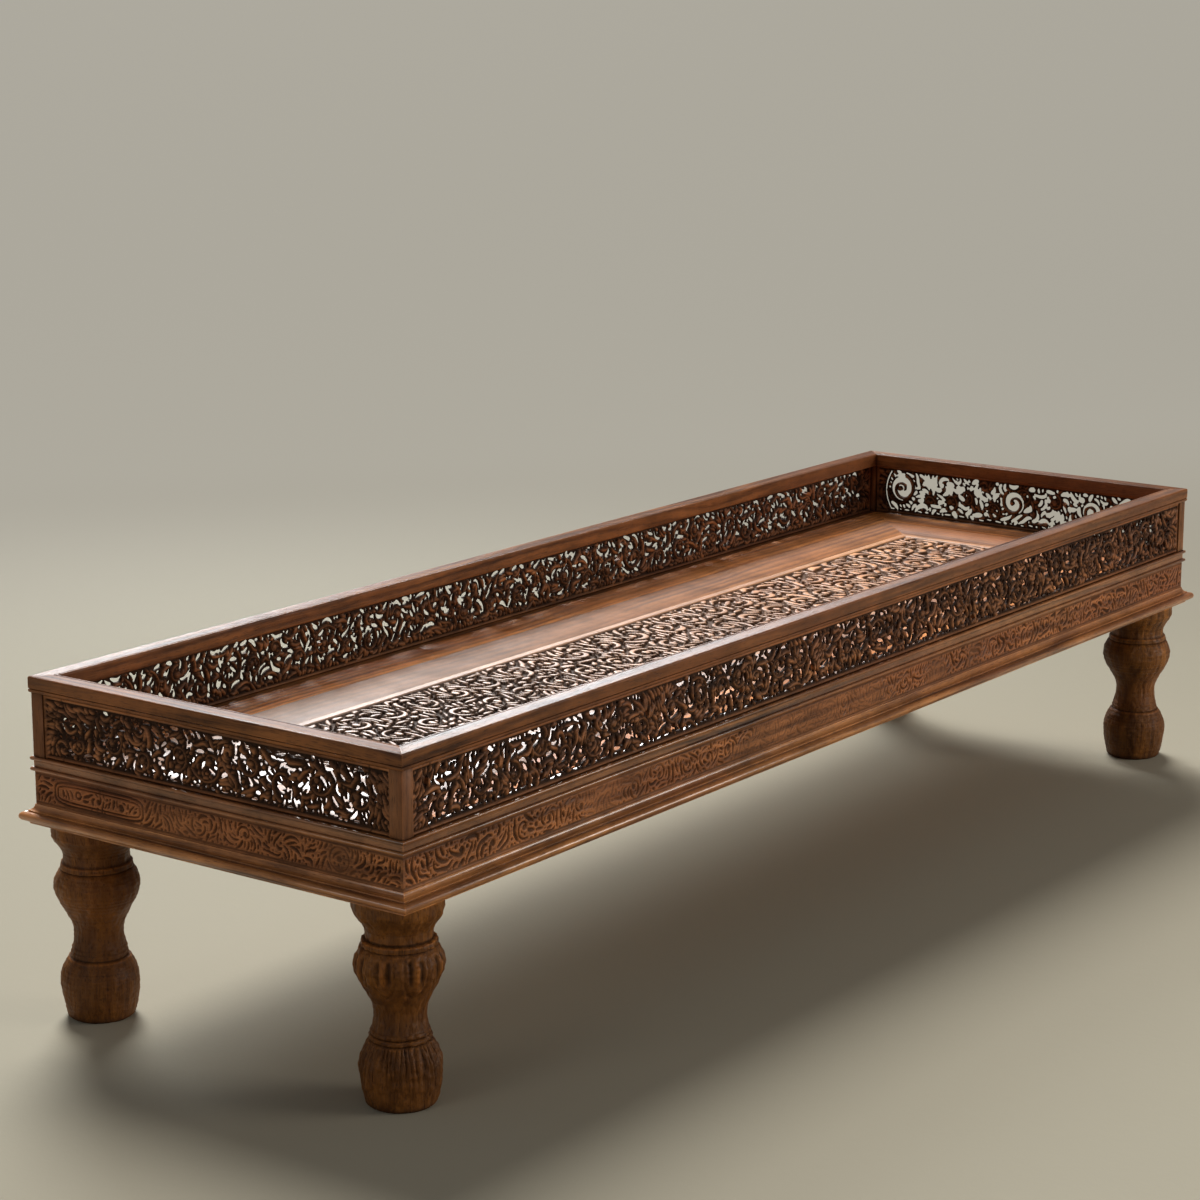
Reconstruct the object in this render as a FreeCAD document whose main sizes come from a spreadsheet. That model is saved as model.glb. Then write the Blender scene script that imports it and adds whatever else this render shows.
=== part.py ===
"""Persian takht: a low carved platform bed on four turned legs, with a pierced gallery.

Millimetres. +X along the long side, -Y is the front, +Z up; the origin is on the ground under
the middle of the takht. A place "inward" is counted from the outer face of the top rail.
"""
import FreeCAD, Part
import math
import os
import re
import Sketcher

os.makedirs("parts", exist_ok=True)
doc = FreeCAD.newDocument("Takht")
Vector = FreeCAD.Vector

# Driving sizes, each with what it is

SIZES = {
    "takht_length": (1900, "length over the top rails"),
    "takht_width": (576, "width over the top rails"),
    "foot_height": (5, "upright edge of the foot"),
    "lower_bulb_rise": (43, "foot to the widest place of the lower bulb"),
    "lower_bulb_fall": (28, "widest place of the lower bulb to its top"),
    "lower_quirk_height": (1, "step between the lower bulb and the beads"),
    "leg_bead_height": (6, "one of the two beads"),
    "waist_fall": (19, "beads to the thinnest place of the waist"),
    "upper_bulb_rise": (59, "thinnest place of the waist to the widest of the upper bulb"),
    "upper_bulb_fall": (20, "widest place of the upper bulb to its top"),
    "shoulder_height": (1, "step between the upper bulb and the collar"),
    "collar_height": (7, "half-round collar"),
    "neck_height": (8, "straight neck over the collar"),
    "cap_height": (29, "flare of the cap"),
    "abacus_height": (12, "upright edge of the cap"),
    "foot_radius": (41, "foot"),
    "foot_round": (4, "rounding under the foot's edge"),
    "lower_bulb_radius": (47.5, "lower bulb at its widest"),
    "lower_bulb_top_radius": (37, "lower bulb at its top"),
    "lower_bead_radius": (36.5, "crest of the lower bead"),
    "upper_bead_radius": (34.5, "crest of the upper bead"),
    "waist_radius": (29.5, "waist at its thinnest"),
    "upper_bulb_radius": (52, "upper bulb at its widest"),
    "upper_bulb_top_radius": (44.5, "upper bulb at its top"),
    "collar_radius": (45.5, "crest of the collar"),
    "neck_radius": (38, "neck"),
    "cap_radius": (52, "edge of the cap"),
    "leg_post_size": (56, "square stock left above the turning"),
    "base_rail_depth": (53, "outer face to the base rail's inner edge"),
    "base_rail_height": (24, "base rail"),
    "base_fillet_height": (4, "fillet under the nose"),
    "base_fillet_proud": (3, "fillet beyond the outer face"),
    "base_nose_height": (11, "half-round nose"),
    "base_nose_proud": (12.3, "nose beyond the outer face"),
    "base_quirk_height": (1.5, "quirk over the nose"),
    "base_quirk_proud": (4.3, "quirk beyond the outer face"),
    "base_cove_setback": (2, "top of the cove, inward"),
    "apron_height": (41, "carved frieze board"),
    "apron_thickness": (20, "carved frieze board"),
    "face_setback": (3, "apron's outer face, inward"),
    "mid_rail_height": (18, "middle rail"),
    "mid_rail_depth": (26, "outer face to the middle rail's inner edge"),
    "mid_bead_height": (5, "half-round bead"),
    "mid_bead_proud": (1, "bead beyond the outer face"),
    "mid_band_setback": (2.5, "plain band between the beads, inward"),
    "gallery_height": (78, "middle rail to top rail"),
    "gallery_post_size": (18, "square corner post"),
    "gallery_post_setback": (2.5, "post's outer face, inward"),
    "tenon_size": (9, "stub tenon of the corner post"),
    "tenon_length": (6, "stub tenon of the corner post"),
    "panel_setback": (4.5, "panel's outer face, inward"),
    "panel_thickness": (8, "pierced panel"),
    "tongue_thickness": (4, "tongue round the panel"),
    "tongue_depth": (4, "tongue round the panel"),
    "panel_margin": (6, "unpierced strip above and below the scrolls"),
    "panel_end_margin": (45, "unpierced end of the panel"),
    "scroll_pitch": (64, "wanted width of one scroll"),
    "top_rail_depth": (27, "outer face to the top rail's inner edge"),
    "top_rail_height": (20, "top rail"),
    "top_rail_round": (2.5, "rounding of the top rail's arrises"),
    "top_quirk_width": (1.6, "fine groove"),
    "top_quirk_depth": (1.2, "fine groove"),
    "top_quirk_setback": (4, "fine groove to the arris beside it"),
    "deck_thickness": (18, "deck boards"),
    "deck_rise": (1, "deck over the middle rail"),
    "outer_board_width": (57, "outer plain board"),
    "inner_board_width": (75, "inner plain board"),
    "panel_groove_width": (4, "groove round the carved field"),
    "panel_groove_depth": (2, "groove round the carved field"),
    "panel_border_width": (11, "edge of the carved panel to the groove"),
    "carving_depth": (3, "ground of the carved field under its curls"),
    "curl_radius": (22, "outer edge of a carved curl"),
    "curl_inner_radius": (18, "inner edge of a carved curl"),
    "curl_mouth": (8, "half the opening between a curl's tips"),
    "curl_boss_radius": (6, "boss in the middle of a curl"),
    "bearer_width": (38, "cross bearer"),
    "end_bearer_width": (66, "end bearer"),
    "peg_radius": (4, "peg through the leg's post"),
    "peg_reach": (12, "peg into the apron"),
    "peg_level": (13, "base rail to the axis of the lower peg"),
    "peg_step": (15, "lower peg to upper peg"),
    "screw_radius": (2.2, "screw's shank"),
    "screw_head_radius": (4.4, "screw's head"),
    "screw_head_height": (2.6, "screw's head"),
    "screw_bite": (11, "deck screw into the board"),
    "rail_screw_bite": (26, "rail screw into the bearer"),
    "deck_screw_inset": (18, "outer board's inner edge to its screws"),
    "board_gap": (0.4, "gap between boards"),
    "fit_gap": (0.2, "flat clearance in grooves and mortises"),
    "round_gap": (0.3, "clearance round pegs and screws"),
    "cut_overrun": (5, "how far a cut runs past the wood"),
}

CROSS_BEARERS = 7
CURL_COLUMNS = 24

sheet = doc.addObject("Spreadsheet::Sheet", "Sizes")
for row, (alias, (value, meaning)) in enumerate(SIZES.items(), start=1):
    sheet.set(f"A{row}", meaning)
    sheet.set(f"B{row}", str(value))
    sheet.setAlias(f"B{row}", alias)
doc.recompute()


def formula(text):
    """The text with the sheet's name put before each size that it names."""
    return re.sub(r"[a-z][a-z_]+", lambda word: f"Sizes.{word[0]}" if word[0] in SIZES else word[0], text)


def measure(text):
    """What the named sizes in the text come to, in millimetres."""
    return float(sheet.evalExpression(formula(text)))


def bind(item, path, text):
    """Ties a property of the item to the named sizes in the text."""
    item.setExpression(path, formula(text))


def total(*names):
    """The sum of the named sizes, as text in brackets."""
    return "(" + " + ".join(names) + ")"


# Levels above the ground

LOWER_BULB_AT = total("foot_height", "lower_bulb_rise")
LOWER_BULB_TOP = total(LOWER_BULB_AT, "lower_bulb_fall")
BEAD_BASE = total(LOWER_BULB_TOP, "lower_quirk_height")
BEAD_MIDDLE = total(BEAD_BASE, "leg_bead_height")
BEAD_TOP = total(BEAD_MIDDLE, "leg_bead_height")
WAIST_AT = total(BEAD_TOP, "waist_fall")
UPPER_BULB_AT = total(WAIST_AT, "upper_bulb_rise")
UPPER_BULB_TOP = total(UPPER_BULB_AT, "upper_bulb_fall")
COLLAR_BASE = total(UPPER_BULB_TOP, "shoulder_height")
COLLAR_TOP = total(COLLAR_BASE, "collar_height")
NECK_TOP = total(COLLAR_TOP, "neck_height")
CAP_TOP = total(NECK_TOP, "cap_height")
LEG_TOP = total(CAP_TOP, "abacus_height")
APRON_BASE = total(LEG_TOP, "base_rail_height")
MID_RAIL_BASE = total(APRON_BASE, "apron_height")
GALLERY_BASE = total(MID_RAIL_BASE, "mid_rail_height")
TOP_RAIL_BASE = total(GALLERY_BASE, "gallery_height")
DECK_TOP = total(GALLERY_BASE, "deck_rise")
DECK_BASE = f"({DECK_TOP} - deck_thickness)"
POST_TOP = f"min({MID_RAIL_BASE}; {DECK_BASE})"

# Places inward from the outer face

APRON_BACK = total("face_setback", "apron_thickness")
LEG_INSET = f"({APRON_BACK} + leg_post_size / 2)"
LEG_BACK = total(APRON_BACK, "leg_post_size")
DECK_EDGE = f"(max(mid_rail_depth; {APRON_BACK}) + board_gap)"
OUTER_BOARD_EDGE = total(DECK_EDGE, "outer_board_width")
INNER_BOARD_EDGE = total(OUTER_BOARD_EDGE, "inner_board_width")
PANEL_HALF_LENGTH = f"(takht_length / 2 - {INNER_BOARD_EDGE} - board_gap)"
PANEL_HALF_WIDTH = f"(takht_width / 2 - {INNER_BOARD_EDGE} - board_gap)"
DECK_SCREW_LINE = f"({OUTER_BOARD_EDGE} - deck_screw_inset)"
INNER_SCREW_LINE = f"({OUTER_BOARD_EDGE} + inner_board_width / 2)"
RAIL_SCREW_LINE = f"(({DECK_EDGE} + base_rail_depth) / 2)"
GALLERY_POST_INSET = "(gallery_post_setback + gallery_post_size / 2)"
GALLERY_POST_BACK = total("gallery_post_setback", "gallery_post_size")
TONGUE_INSET = "(panel_setback + panel_thickness / 2)"
GROOVE_HALF = "(tongue_thickness / 2 + fit_gap)"
GROOVE_DEPTH = total("tongue_depth", "fit_gap")
PEG_LEVELS = (f"({APRON_BASE} + peg_level)", f"({APRON_BASE} + peg_level + peg_step)")

# Each side: its run, the place of its outer face's middle, and its turn about Z in degrees

SIDES = {
    "front": ("takht_length", "0", "-takht_width / 2", 0),
    "right": ("takht_width", "takht_length / 2", "0", 90),
    "back": ("takht_length", "0", "takht_width / 2", 180),
    "left": ("takht_width", "-takht_length / 2", "0", 270),
}
CORNERS = {
    "front_left": (-1, -1, 0),
    "front_right": (1, -1, 90),
    "back_right": (1, 1, 180),
    "back_left": (-1, 1, 270),
}
parts = []


# Making a body, its sketches and its features

def new_body(label, x="0", y="0", z="0", turn=0):
    """A sub-part's body at (x, y, z), turned about Z."""
    body = doc.addObject("PartDesign::Body", label)
    body.Label = label
    body.Placement = FreeCAD.Placement(Vector(0, 0, 0), FreeCAD.Rotation(turn, 0, 0))
    for axis, text in zip("xyz", (x, y, z)):
        bind(body, f"Placement.Base.{axis}", text)
    parts.append(body)
    return body


def side_body(label, side, z):
    """A body whose X runs along the side and whose Y goes inward from the outer face."""
    run, x, y, turn = SIDES[side]
    return new_body(label, x, y, z, turn), run


def new_sketch(body, name, role="XY_Plane", offset="0"):
    """A sketch on one of the body's own planes, moved along the plane's normal by the offset."""
    sketch = body.newObject("Sketcher::SketchObject", name)
    plane = [item for item in body.Origin.OriginFeatures if item.Role == role][0]
    sketch.AttachmentSupport = [(plane, "")]
    sketch.MapMode = "FlatFace"
    bind(sketch, "AttachmentOffset.Base.z", offset)
    return sketch


def pin_point(sketch, curve, end, x, y):
    """Ties a point of the sketch to the named sizes in x and y."""
    for kind, text in (("DistanceX", x), ("DistanceY", y)):
        index = sketch.addConstraint(Sketcher.Constraint(kind, -1, 1, curve, end, measure(text)))
        sketch.setExpression(f"Constraints[{index}]", formula(text))


def arc_centre(start, end, axis, level):
    """The centre that is as far from start as from end and lies at the level on the axis."""
    middle = (start + end) * 0.5
    chord = end - start
    if axis == "x":
        return Vector(level, middle.y - (level - middle.x) * chord.x / chord.y, 0)
    return Vector(middle.x - (level - middle.y) * chord.y / chord.x, level, 0)


def outline(sketch, corners):
    """A closed outline. A corner is (x, y) where a straight edge leaves it, or
    (x, y, axis, level, turn) where an arc does: the level is its centre's place on the axis, and
    the turn is 1 to the left and -1 to the right."""
    points = [Vector(measure(corner[0]), measure(corner[1]), 0) for corner in corners]
    ends = []
    for index, corner in enumerate(corners):
        start, end = points[index], points[(index + 1) % len(points)]
        if len(corner) == 2:
            curve = sketch.addGeometry(Part.LineSegment(start, end), False)
            ends.append((curve, 1, 2))
            continue
        axis, level, turn = corner[2:]
        centre = arc_centre(start, end, axis, measure(level))
        low, high = (start, end) if turn > 0 else (end, start)
        angles = [math.atan2(point.y - centre.y, point.x - centre.x) for point in (low, high)]
        circle = Part.Circle(centre, Vector(0, 0, 1), (start - centre).Length)
        if angles[1] <= angles[0]:
            angles[1] += 2 * math.pi
        curve = sketch.addGeometry(Part.ArcOfCircle(circle, *angles), False)
        ends.append((curve, 1, 2) if turn > 0 else (curve, 2, 1))
    for index, (curve, start, end) in enumerate(ends):
        following, following_start, _ = ends[(index + 1) % len(ends)]
        sketch.addConstraint(Sketcher.Constraint("Coincident", curve, end, following, following_start))
    for (curve, start, _), corner in zip(ends, corners):
        pin_point(sketch, curve, start, corner[0], corner[1])
        if len(corner) > 2:
            kind = "DistanceX" if corner[2] == "x" else "DistanceY"
            constraint = Sketcher.Constraint(kind, -1, 1, curve, 3, measure(corner[3]))
            index = sketch.addConstraint(constraint)
            sketch.setExpression(f"Constraints[{index}]", formula(corner[3]))


def box_outline(sketch, low_x, low_y, high_x, high_y):
    """A rectangle from its lowest corner to its highest."""
    outline(sketch, [(low_x, low_y), (high_x, low_y), (high_x, high_y), (low_x, high_y)])


def ring(sketch, x, y, radius):
    """A circle of the named radius round (x, y)."""
    circle = Part.Circle(Vector(measure(x), measure(y), 0), Vector(0, 0, 1), measure(radius))
    curve = sketch.addGeometry(circle, False)
    pin_point(sketch, curve, 3, x, y)
    index = sketch.addConstraint(Sketcher.Constraint("Radius", curve, measure(radius)))
    sketch.setExpression(f"Constraints[{index}]", formula(radius))


def pad(body, sketch, length, both_ways=False):
    """Wood of the sketch's outline and the named length, ahead of the sketch or both ways."""
    feature = body.newObject("PartDesign::Pad", sketch.Name + "Pad")
    feature.Profile = sketch
    feature.SideType = "Symmetric" if both_ways else "One side"
    bind(feature, "Length", length)
    return feature


def cut_through(body, sketch):
    """The sketch's outline cut right through the body, both ways."""
    feature = body.newObject("PartDesign::Pocket", sketch.Name + "Cut")
    feature.Profile = sketch
    feature.Type = "ThroughAll"
    feature.SideType = "Symmetric"
    return feature


def cut_into(body, sketch, depth, ahead):
    """The sketch's outline cut to the named depth, ahead of the sketch or behind it."""
    feature = body.newObject("PartDesign::Pocket", sketch.Name + "Cut")
    feature.Profile = sketch
    feature.Reversed = ahead
    bind(feature, "Length", depth)
    return feature


def mitre(body, run, proud, depth):
    """Both ends cut at 45 degrees, along x = run / 2 - y and its mirror image."""
    sketch = new_sketch(body, body.Name + "Mitre")
    for sign in ("", "-"):
        far = f"{sign}({run} / 2 + {proud} + cut_overrun)"
        near = f"{sign}({run} / 2 - {depth} - cut_overrun)"
        outer, inner = f"-{proud} - cut_overrun", f"{depth} + cut_overrun"
        outline(sketch, [(far, outer), (far, inner), (near, inner)])
    cut_through(body, sketch)


def moulded_rail(body, run, proud, depth, section):
    """A rail of the section, drawn as inward and up, with both ends mitred."""
    sketch = new_sketch(body, body.Name + "Section", "YZ_Plane")
    outline(sketch, section)
    pad(body, sketch, f"{run} + 2 * {proud}", both_ways=True)
    mitre(body, run, proud, depth)


def mitred_board(body, run, outer, inner, height):
    """A flat board between two lines inward from the outer face, with both ends mitred."""
    sketch = new_sketch(body, body.Name + "Plan")
    outline(sketch, [
        (f"{outer} - {run} / 2", outer),
        (f"{run} / 2 - {outer}", outer),
        (f"{run} / 2 - {inner}", inner),
        (f"{inner} - {run} / 2", inner),
    ])
    pad(body, sketch, height)


# Legs: turned from square stock, which is left square above the cap

def make_leg(corner):
    side_x, side_y, turn = CORNERS[corner]
    body = new_body(
        f"leg_{corner}",
        f"{side_x} * (takht_length / 2 - {LEG_INSET})",
        f"{side_y} * (takht_width / 2 - {LEG_INSET})",
        "0",
        turn,
    )
    lower_root = "(lower_bead_radius - leg_bead_height / 2)"
    upper_root = "(upper_bead_radius - leg_bead_height / 2)"
    collar_root = "(collar_radius - collar_height / 2)"
    bend_radius, bend_level = "(waist_radius + upper_bulb_radius) / 2", f"({WAIST_AT} + upper_bulb_rise / 2)"
    profile = new_sketch(body, body.Name + "Profile", "XZ_Plane")
    outline(profile, [
        ("0", "0"),
        ("foot_radius - foot_round", "0", "y", "foot_round", 1),
        ("foot_radius", "foot_round"),
        ("foot_radius", "foot_height", "y", LOWER_BULB_AT, 1),
        ("lower_bulb_radius", LOWER_BULB_AT, "y", LOWER_BULB_AT, 1),
        ("lower_bulb_top_radius", LOWER_BULB_TOP),
        (lower_root, BEAD_BASE, "x", lower_root, 1),
        (lower_root, BEAD_MIDDLE),
        (upper_root, BEAD_MIDDLE, "x", upper_root, 1),
        (upper_root, BEAD_TOP, "y", WAIST_AT, -1),
        ("waist_radius", WAIST_AT, "y", WAIST_AT, -1),
        (bend_radius, bend_level, "y", UPPER_BULB_AT, 1),
        ("upper_bulb_radius", UPPER_BULB_AT, "y", UPPER_BULB_AT, 1),
        ("upper_bulb_top_radius", UPPER_BULB_TOP),
        (collar_root, COLLAR_BASE, "x", collar_root, 1),
        (collar_root, COLLAR_TOP),
        ("neck_radius", COLLAR_TOP),
        ("neck_radius", NECK_TOP, "y", NECK_TOP, -1),
        ("(neck_radius + cap_radius) / 2", f"{NECK_TOP} + cap_height / 2", "y", CAP_TOP, 1),
        ("cap_radius", CAP_TOP),
        ("cap_radius", LEG_TOP),
        ("0", LEG_TOP),
    ])
    turning = body.newObject("PartDesign::Revolution", body.Name + "Turning")
    turning.Profile = profile
    turning.ReferenceAxis = (profile, ["V_Axis"])
    post = new_sketch(body, body.Name + "Post", offset=LEG_TOP)
    half = "leg_post_size / 2"
    box_outline(post, f"-{half}", f"-{half}", half, half)
    pad(body, post, f"{POST_TOP} - {LEG_TOP}")
    for role, level in zip(("XZ_Plane", "YZ_Plane"), PEG_LEVELS):
        hole = new_sketch(body, body.Name + "PegHole" + role[:2], role)
        ring(hole, "0", level, "peg_radius + round_gap")
        cut_through(body, hole)


for corner in CORNERS:
    make_leg(corner)


# Places of the cross bearers along X, and of the screws through them

def bearer_place(index):
    """The bearers are evenly spaced, the first and last under the carved panel's ends."""
    return f"({index} * 2 * {PANEL_HALF_LENGTH} / {CROSS_BEARERS - 1} - {PANEL_HALF_LENGTH})"


SCREWED_BEARERS = range(1, CROSS_BEARERS - 1)
SCREW_HOLE = "screw_radius + round_gap"


# Base rails: moulded nose outside, a flat flange inside for the bearers

def make_base_rail(side):
    body, run = side_body(f"base_rail_{side}", side, LEG_TOP)
    nose_back = "(base_nose_height / 2 - base_nose_proud)"
    nose_top = total("base_fillet_height", "base_nose_height")
    moulded_rail(body, run, "base_nose_proud", "base_rail_depth", [
        ("base_rail_depth", "0"),
        ("base_rail_depth", "base_rail_height"),
        ("base_cove_setback", "base_rail_height", "y", "base_rail_height", -1),
        ("-base_quirk_proud", f"{nose_top} + base_quirk_height"),
        ("-base_quirk_proud", nose_top),
        (nose_back, nose_top, "x", nose_back, 1),
        (nose_back, "base_fillet_height"),
        ("-base_fillet_proud", "base_fillet_height"),
        ("-base_fillet_proud", "0"),
    ])
    notch = new_sketch(body, body.Name + "Notch")
    for sign in ("", "-"):
        far = f"{sign}({run} / 2 - {APRON_BACK} + cut_overrun)"
        near = f"{sign}({run} / 2 - {LEG_BACK})"
        box_outline(notch, near, APRON_BACK, far, "base_rail_depth + cut_overrun")
    cut_through(body, notch)
    holes = new_sketch(body, body.Name + "ScrewHoles")
    if run == "takht_length":
        for index in range(CROSS_BEARERS):
            ring(holes, bearer_place(index), RAIL_SCREW_LINE, SCREW_HOLE)
    else:
        for sign in ("", "-"):
            ring(holes, f"{sign}{PANEL_HALF_WIDTH}", RAIL_SCREW_LINE, SCREW_HOLE)
    cut_through(body, holes)


# Aprons: the frieze boards, bored from behind for the pegs

def make_apron(side):
    body, run = side_body(f"apron_{side}", side, APRON_BASE)
    mitred_board(body, run, "face_setback", APRON_BACK, "apron_height")
    holes = new_sketch(body, body.Name + "PegHoles", "XZ_Plane", f"-{APRON_BACK}")
    for sign, level in zip(("-", ""), PEG_LEVELS):
        place = f"{sign}({run} / 2 - {LEG_INSET})"
        ring(holes, place, f"{level} - {APRON_BASE}", "peg_radius + round_gap")
    cut_into(body, holes, "peg_reach", ahead=True)


# Middle rails: a bead, a plain band and a bead, with a groove on top for the gallery

def rail_mortises(body, run, offset, ahead):
    """Half of each corner post's mortise, at both ends of a rail."""
    sketch = new_sketch(body, body.Name + "Mortises", offset=offset)
    half = "(tenon_size / 2 + fit_gap)"
    for sign in ("", "-"):
        near = f"{sign}({run} / 2 - {GALLERY_POST_INSET} - {half})"
        far = f"{sign}({run} / 2 - {GALLERY_POST_INSET} + {half})"
        box_outline(sketch, near, f"{GALLERY_POST_INSET} - {half}", far, f"{GALLERY_POST_INSET} + {half}")
    cut_into(body, sketch, "tenon_length + fit_gap", ahead)


def make_mid_rail(side):
    body, run = side_body(f"mid_rail_{side}", side, MID_RAIL_BASE)
    bead_back = "(mid_bead_height / 2 - mid_bead_proud)"
    upper_bead = "(mid_rail_height - mid_bead_height)"
    groove_floor = f"(mid_rail_height - {GROOVE_DEPTH})"
    moulded_rail(body, run, "mid_bead_proud", "mid_rail_depth", [
        ("mid_rail_depth", "0"),
        ("mid_rail_depth", "mid_rail_height"),
        (f"{TONGUE_INSET} + {GROOVE_HALF}", "mid_rail_height"),
        (f"{TONGUE_INSET} + {GROOVE_HALF}", groove_floor),
        (f"{TONGUE_INSET} - {GROOVE_HALF}", groove_floor),
        (f"{TONGUE_INSET} - {GROOVE_HALF}", "mid_rail_height"),
        (bead_back, "mid_rail_height", "x", bead_back, 1),
        (bead_back, upper_bead),
        ("mid_band_setback", upper_bead),
        ("mid_band_setback", "mid_bead_height"),
        (bead_back, "mid_bead_height", "x", bead_back, 1),
        (bead_back, "0"),
    ])
    rail_mortises(body, run, "mid_rail_height", ahead=False)


# Top rails: flat, with rounded arrises, a fine groove inside and outside, and a groove below

def make_top_rail(side):
    body, run = side_body(f"top_rail_{side}", side, TOP_RAIL_BASE)
    soft = "top_rail_round"
    upper, inner = "(top_rail_height - top_rail_round)", "(top_rail_depth - top_rail_round)"
    inner_quirk = "(top_rail_depth - top_quirk_setback - top_quirk_width)"
    moulded_rail(body, run, "0", "top_rail_depth", [
        (inner, "0", "x", inner, 1),
        ("top_rail_depth", soft),
        ("top_rail_depth", upper, "y", upper, 1),
        (inner, "top_rail_height"),
        ("top_rail_depth - top_quirk_setback", "top_rail_height"),
        (f"{inner_quirk} + top_quirk_width / 2", "top_rail_height - top_quirk_depth"),
        (inner_quirk, "top_rail_height"),
        (soft, "top_rail_height", "x", soft, 1),
        ("0", upper),
        ("0", "top_quirk_setback + top_quirk_width"),
        ("top_quirk_depth", "top_quirk_setback + top_quirk_width / 2"),
        ("0", "top_quirk_setback"),
        ("0", soft, "y", soft, 1),
        (soft, "0"),
        (f"{TONGUE_INSET} - {GROOVE_HALF}", "0"),
        (f"{TONGUE_INSET} - {GROOVE_HALF}", GROOVE_DEPTH),
        (f"{TONGUE_INSET} + {GROOVE_HALF}", GROOVE_DEPTH),
        (f"{TONGUE_INSET} + {GROOVE_HALF}", "0"),
    ])
    rail_mortises(body, run, "0", ahead=True)


# Corner posts of the gallery: square, grooved on two faces for the panels' tongues

def make_gallery_post(corner):
    side_x, side_y, turn = CORNERS[corner]
    body = new_body(
        f"gallery_post_{corner}",
        f"{side_x} * (takht_length / 2 - {GALLERY_POST_INSET})",
        f"{side_y} * (takht_width / 2 - {GALLERY_POST_INSET})",
        GALLERY_BASE,
        turn,
    )
    half = "gallery_post_size / 2"
    floor = f"{half} - {GROOVE_DEPTH}"
    low = f"{TONGUE_INSET} - {GALLERY_POST_INSET} - {GROOVE_HALF}"
    high = f"{TONGUE_INSET} - {GALLERY_POST_INSET} + {GROOVE_HALF}"
    plan = new_sketch(body, body.Name + "Plan")
    outline(plan, [
        (f"-{half}", f"-{half}"),
        (half, f"-{half}"),
        (half, low),
        (floor, low),
        (floor, high),
        (half, high),
        (half, half),
        (high, half),
        (high, floor),
        (low, floor),
        (low, half),
        (f"-{half}", half),
    ])
    pad(body, plan, "gallery_height")
    tenon = new_sketch(body, body.Name + "Tenon", offset="-tenon_length")
    box_outline(tenon, "-tenon_size / 2", "-tenon_size / 2", "tenon_size / 2", "tenon_size / 2")
    pad(body, tenon, "gallery_height + 2 * tenon_length")


# Gallery panels: a tongue all round, and scrolls sawn through between the margins

# One scroll's openings. Each is a closed chain of places on its outline and places midway along
# the arc that follows, as shares of the scroll's width and height
SCROLL_SHARES = [
    [(0.40, 0.44), (0.50, 0.63), (0.61, 0.44), (0.51, 0.54)],
    [(0.25, 0.60), (0.38, 0.22), (0.76, 0.30), (0.48, 0.33)],
    [(0.83, 0.36), (0.80, 0.70), (0.52, 0.79), (0.69, 0.62)],
    [(0.15, 0.66), (0.26, 0.86), (0.47, 0.90), (0.33, 0.77)],
    [(0.24, 0.20), (0.44, 0.08), (0.74, 0.17), (0.48, 0.15)],
    [(-0.17, 0.05), (0.00, 0.01), (0.17, 0.05), (0.07, 0.13), (0.00, 0.30), (-0.07, 0.13)],
    [(-0.10, 0.97), (0.00, 0.99), (0.10, 0.97), (0.05, 0.88), (0.00, 0.74), (-0.05, 0.88)],
    [(0.00, 0.36), (0.05, 0.51), (0.00, 0.68), (-0.05, 0.51)],
]


def opening_face(shares, low, width, height, upside_down):
    """A face of one opening, through its places scaled to the scroll, with an arc each."""
    places = []
    for across, up in shares:
        level = 1 - up if upside_down else up
        places.append(Vector(low.x + across * width, low.y, low.z + level * height))
    arcs = []
    for index in range(0, len(places), 2):
        end = places[(index + 2) % len(places)]
        arcs.append(Part.Arc(places[index], places[index + 1], end).toShape())
    return Part.Wire(arcs)


def make_gallery_panel(side):
    run, x, y, turn = SIDES[side]
    half = measure(f"{run} / 2 - {GALLERY_POST_BACK}")
    height = measure("gallery_height")
    thickness = measure("panel_thickness")
    front = measure("panel_setback")
    margin = measure("panel_margin")
    field_half = half - measure("panel_end_margin")
    scrolls = round(2 * field_half / measure("scroll_pitch"))
    width = 2 * field_half / scrolls
    wires = []
    for index in range(scrolls):
        low = Vector(index * width - field_half, front, margin)
        for shares in SCROLL_SHARES:
            wires.append(opening_face(shares, low, width, height - 2 * margin, index % 2 == 1))
    edge = [
        Vector(-half, front, 0),
        Vector(half, front, 0),
        Vector(half, front, height),
        Vector(-half, front, height),
    ]
    plate = Part.Face(Part.makePolygon(edge + edge[:1]))
    pierced = Part.makeFace([plate.OuterWire] + wires, "Part::FaceMakerBullseye")
    board = pierced.extrude(Vector(0, thickness, 0))
    tongue = measure("tongue_depth")
    back = front + (thickness - measure("tongue_thickness")) / 2
    deep = measure("tongue_thickness")
    strips = [
        (-half, -tongue, 2 * half, tongue),
        (-half, height, 2 * half, tongue),
        (-half - tongue, 0, tongue, height),
        (half, 0, tongue, height),
    ]
    tongues = [Part.makeBox(wide, deep, tall, Vector(left, back, low)) for left, low, wide, tall in strips]
    panel = doc.addObject("Part::Feature", f"gallery_panel_{side}")
    panel.Label = f"gallery_panel_{side}"
    panel.Shape = board.fuse(tongues).removeSplitter().Solids[0]
    panel.Placement = FreeCAD.Placement(
        Vector(measure(x), measure(y), measure(GALLERY_BASE)), FreeCAD.Rotation(turn, 0, 0)
    )
    parts.append(panel)


for side in SIDES:
    make_base_rail(side)
    make_apron(side)
    make_mid_rail(side)
    make_gallery_panel(side)
    make_top_rail(side)
for corner in CORNERS:
    make_gallery_post(corner)


# Deck: two rings of plain boards mitred round the carved panel

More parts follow.
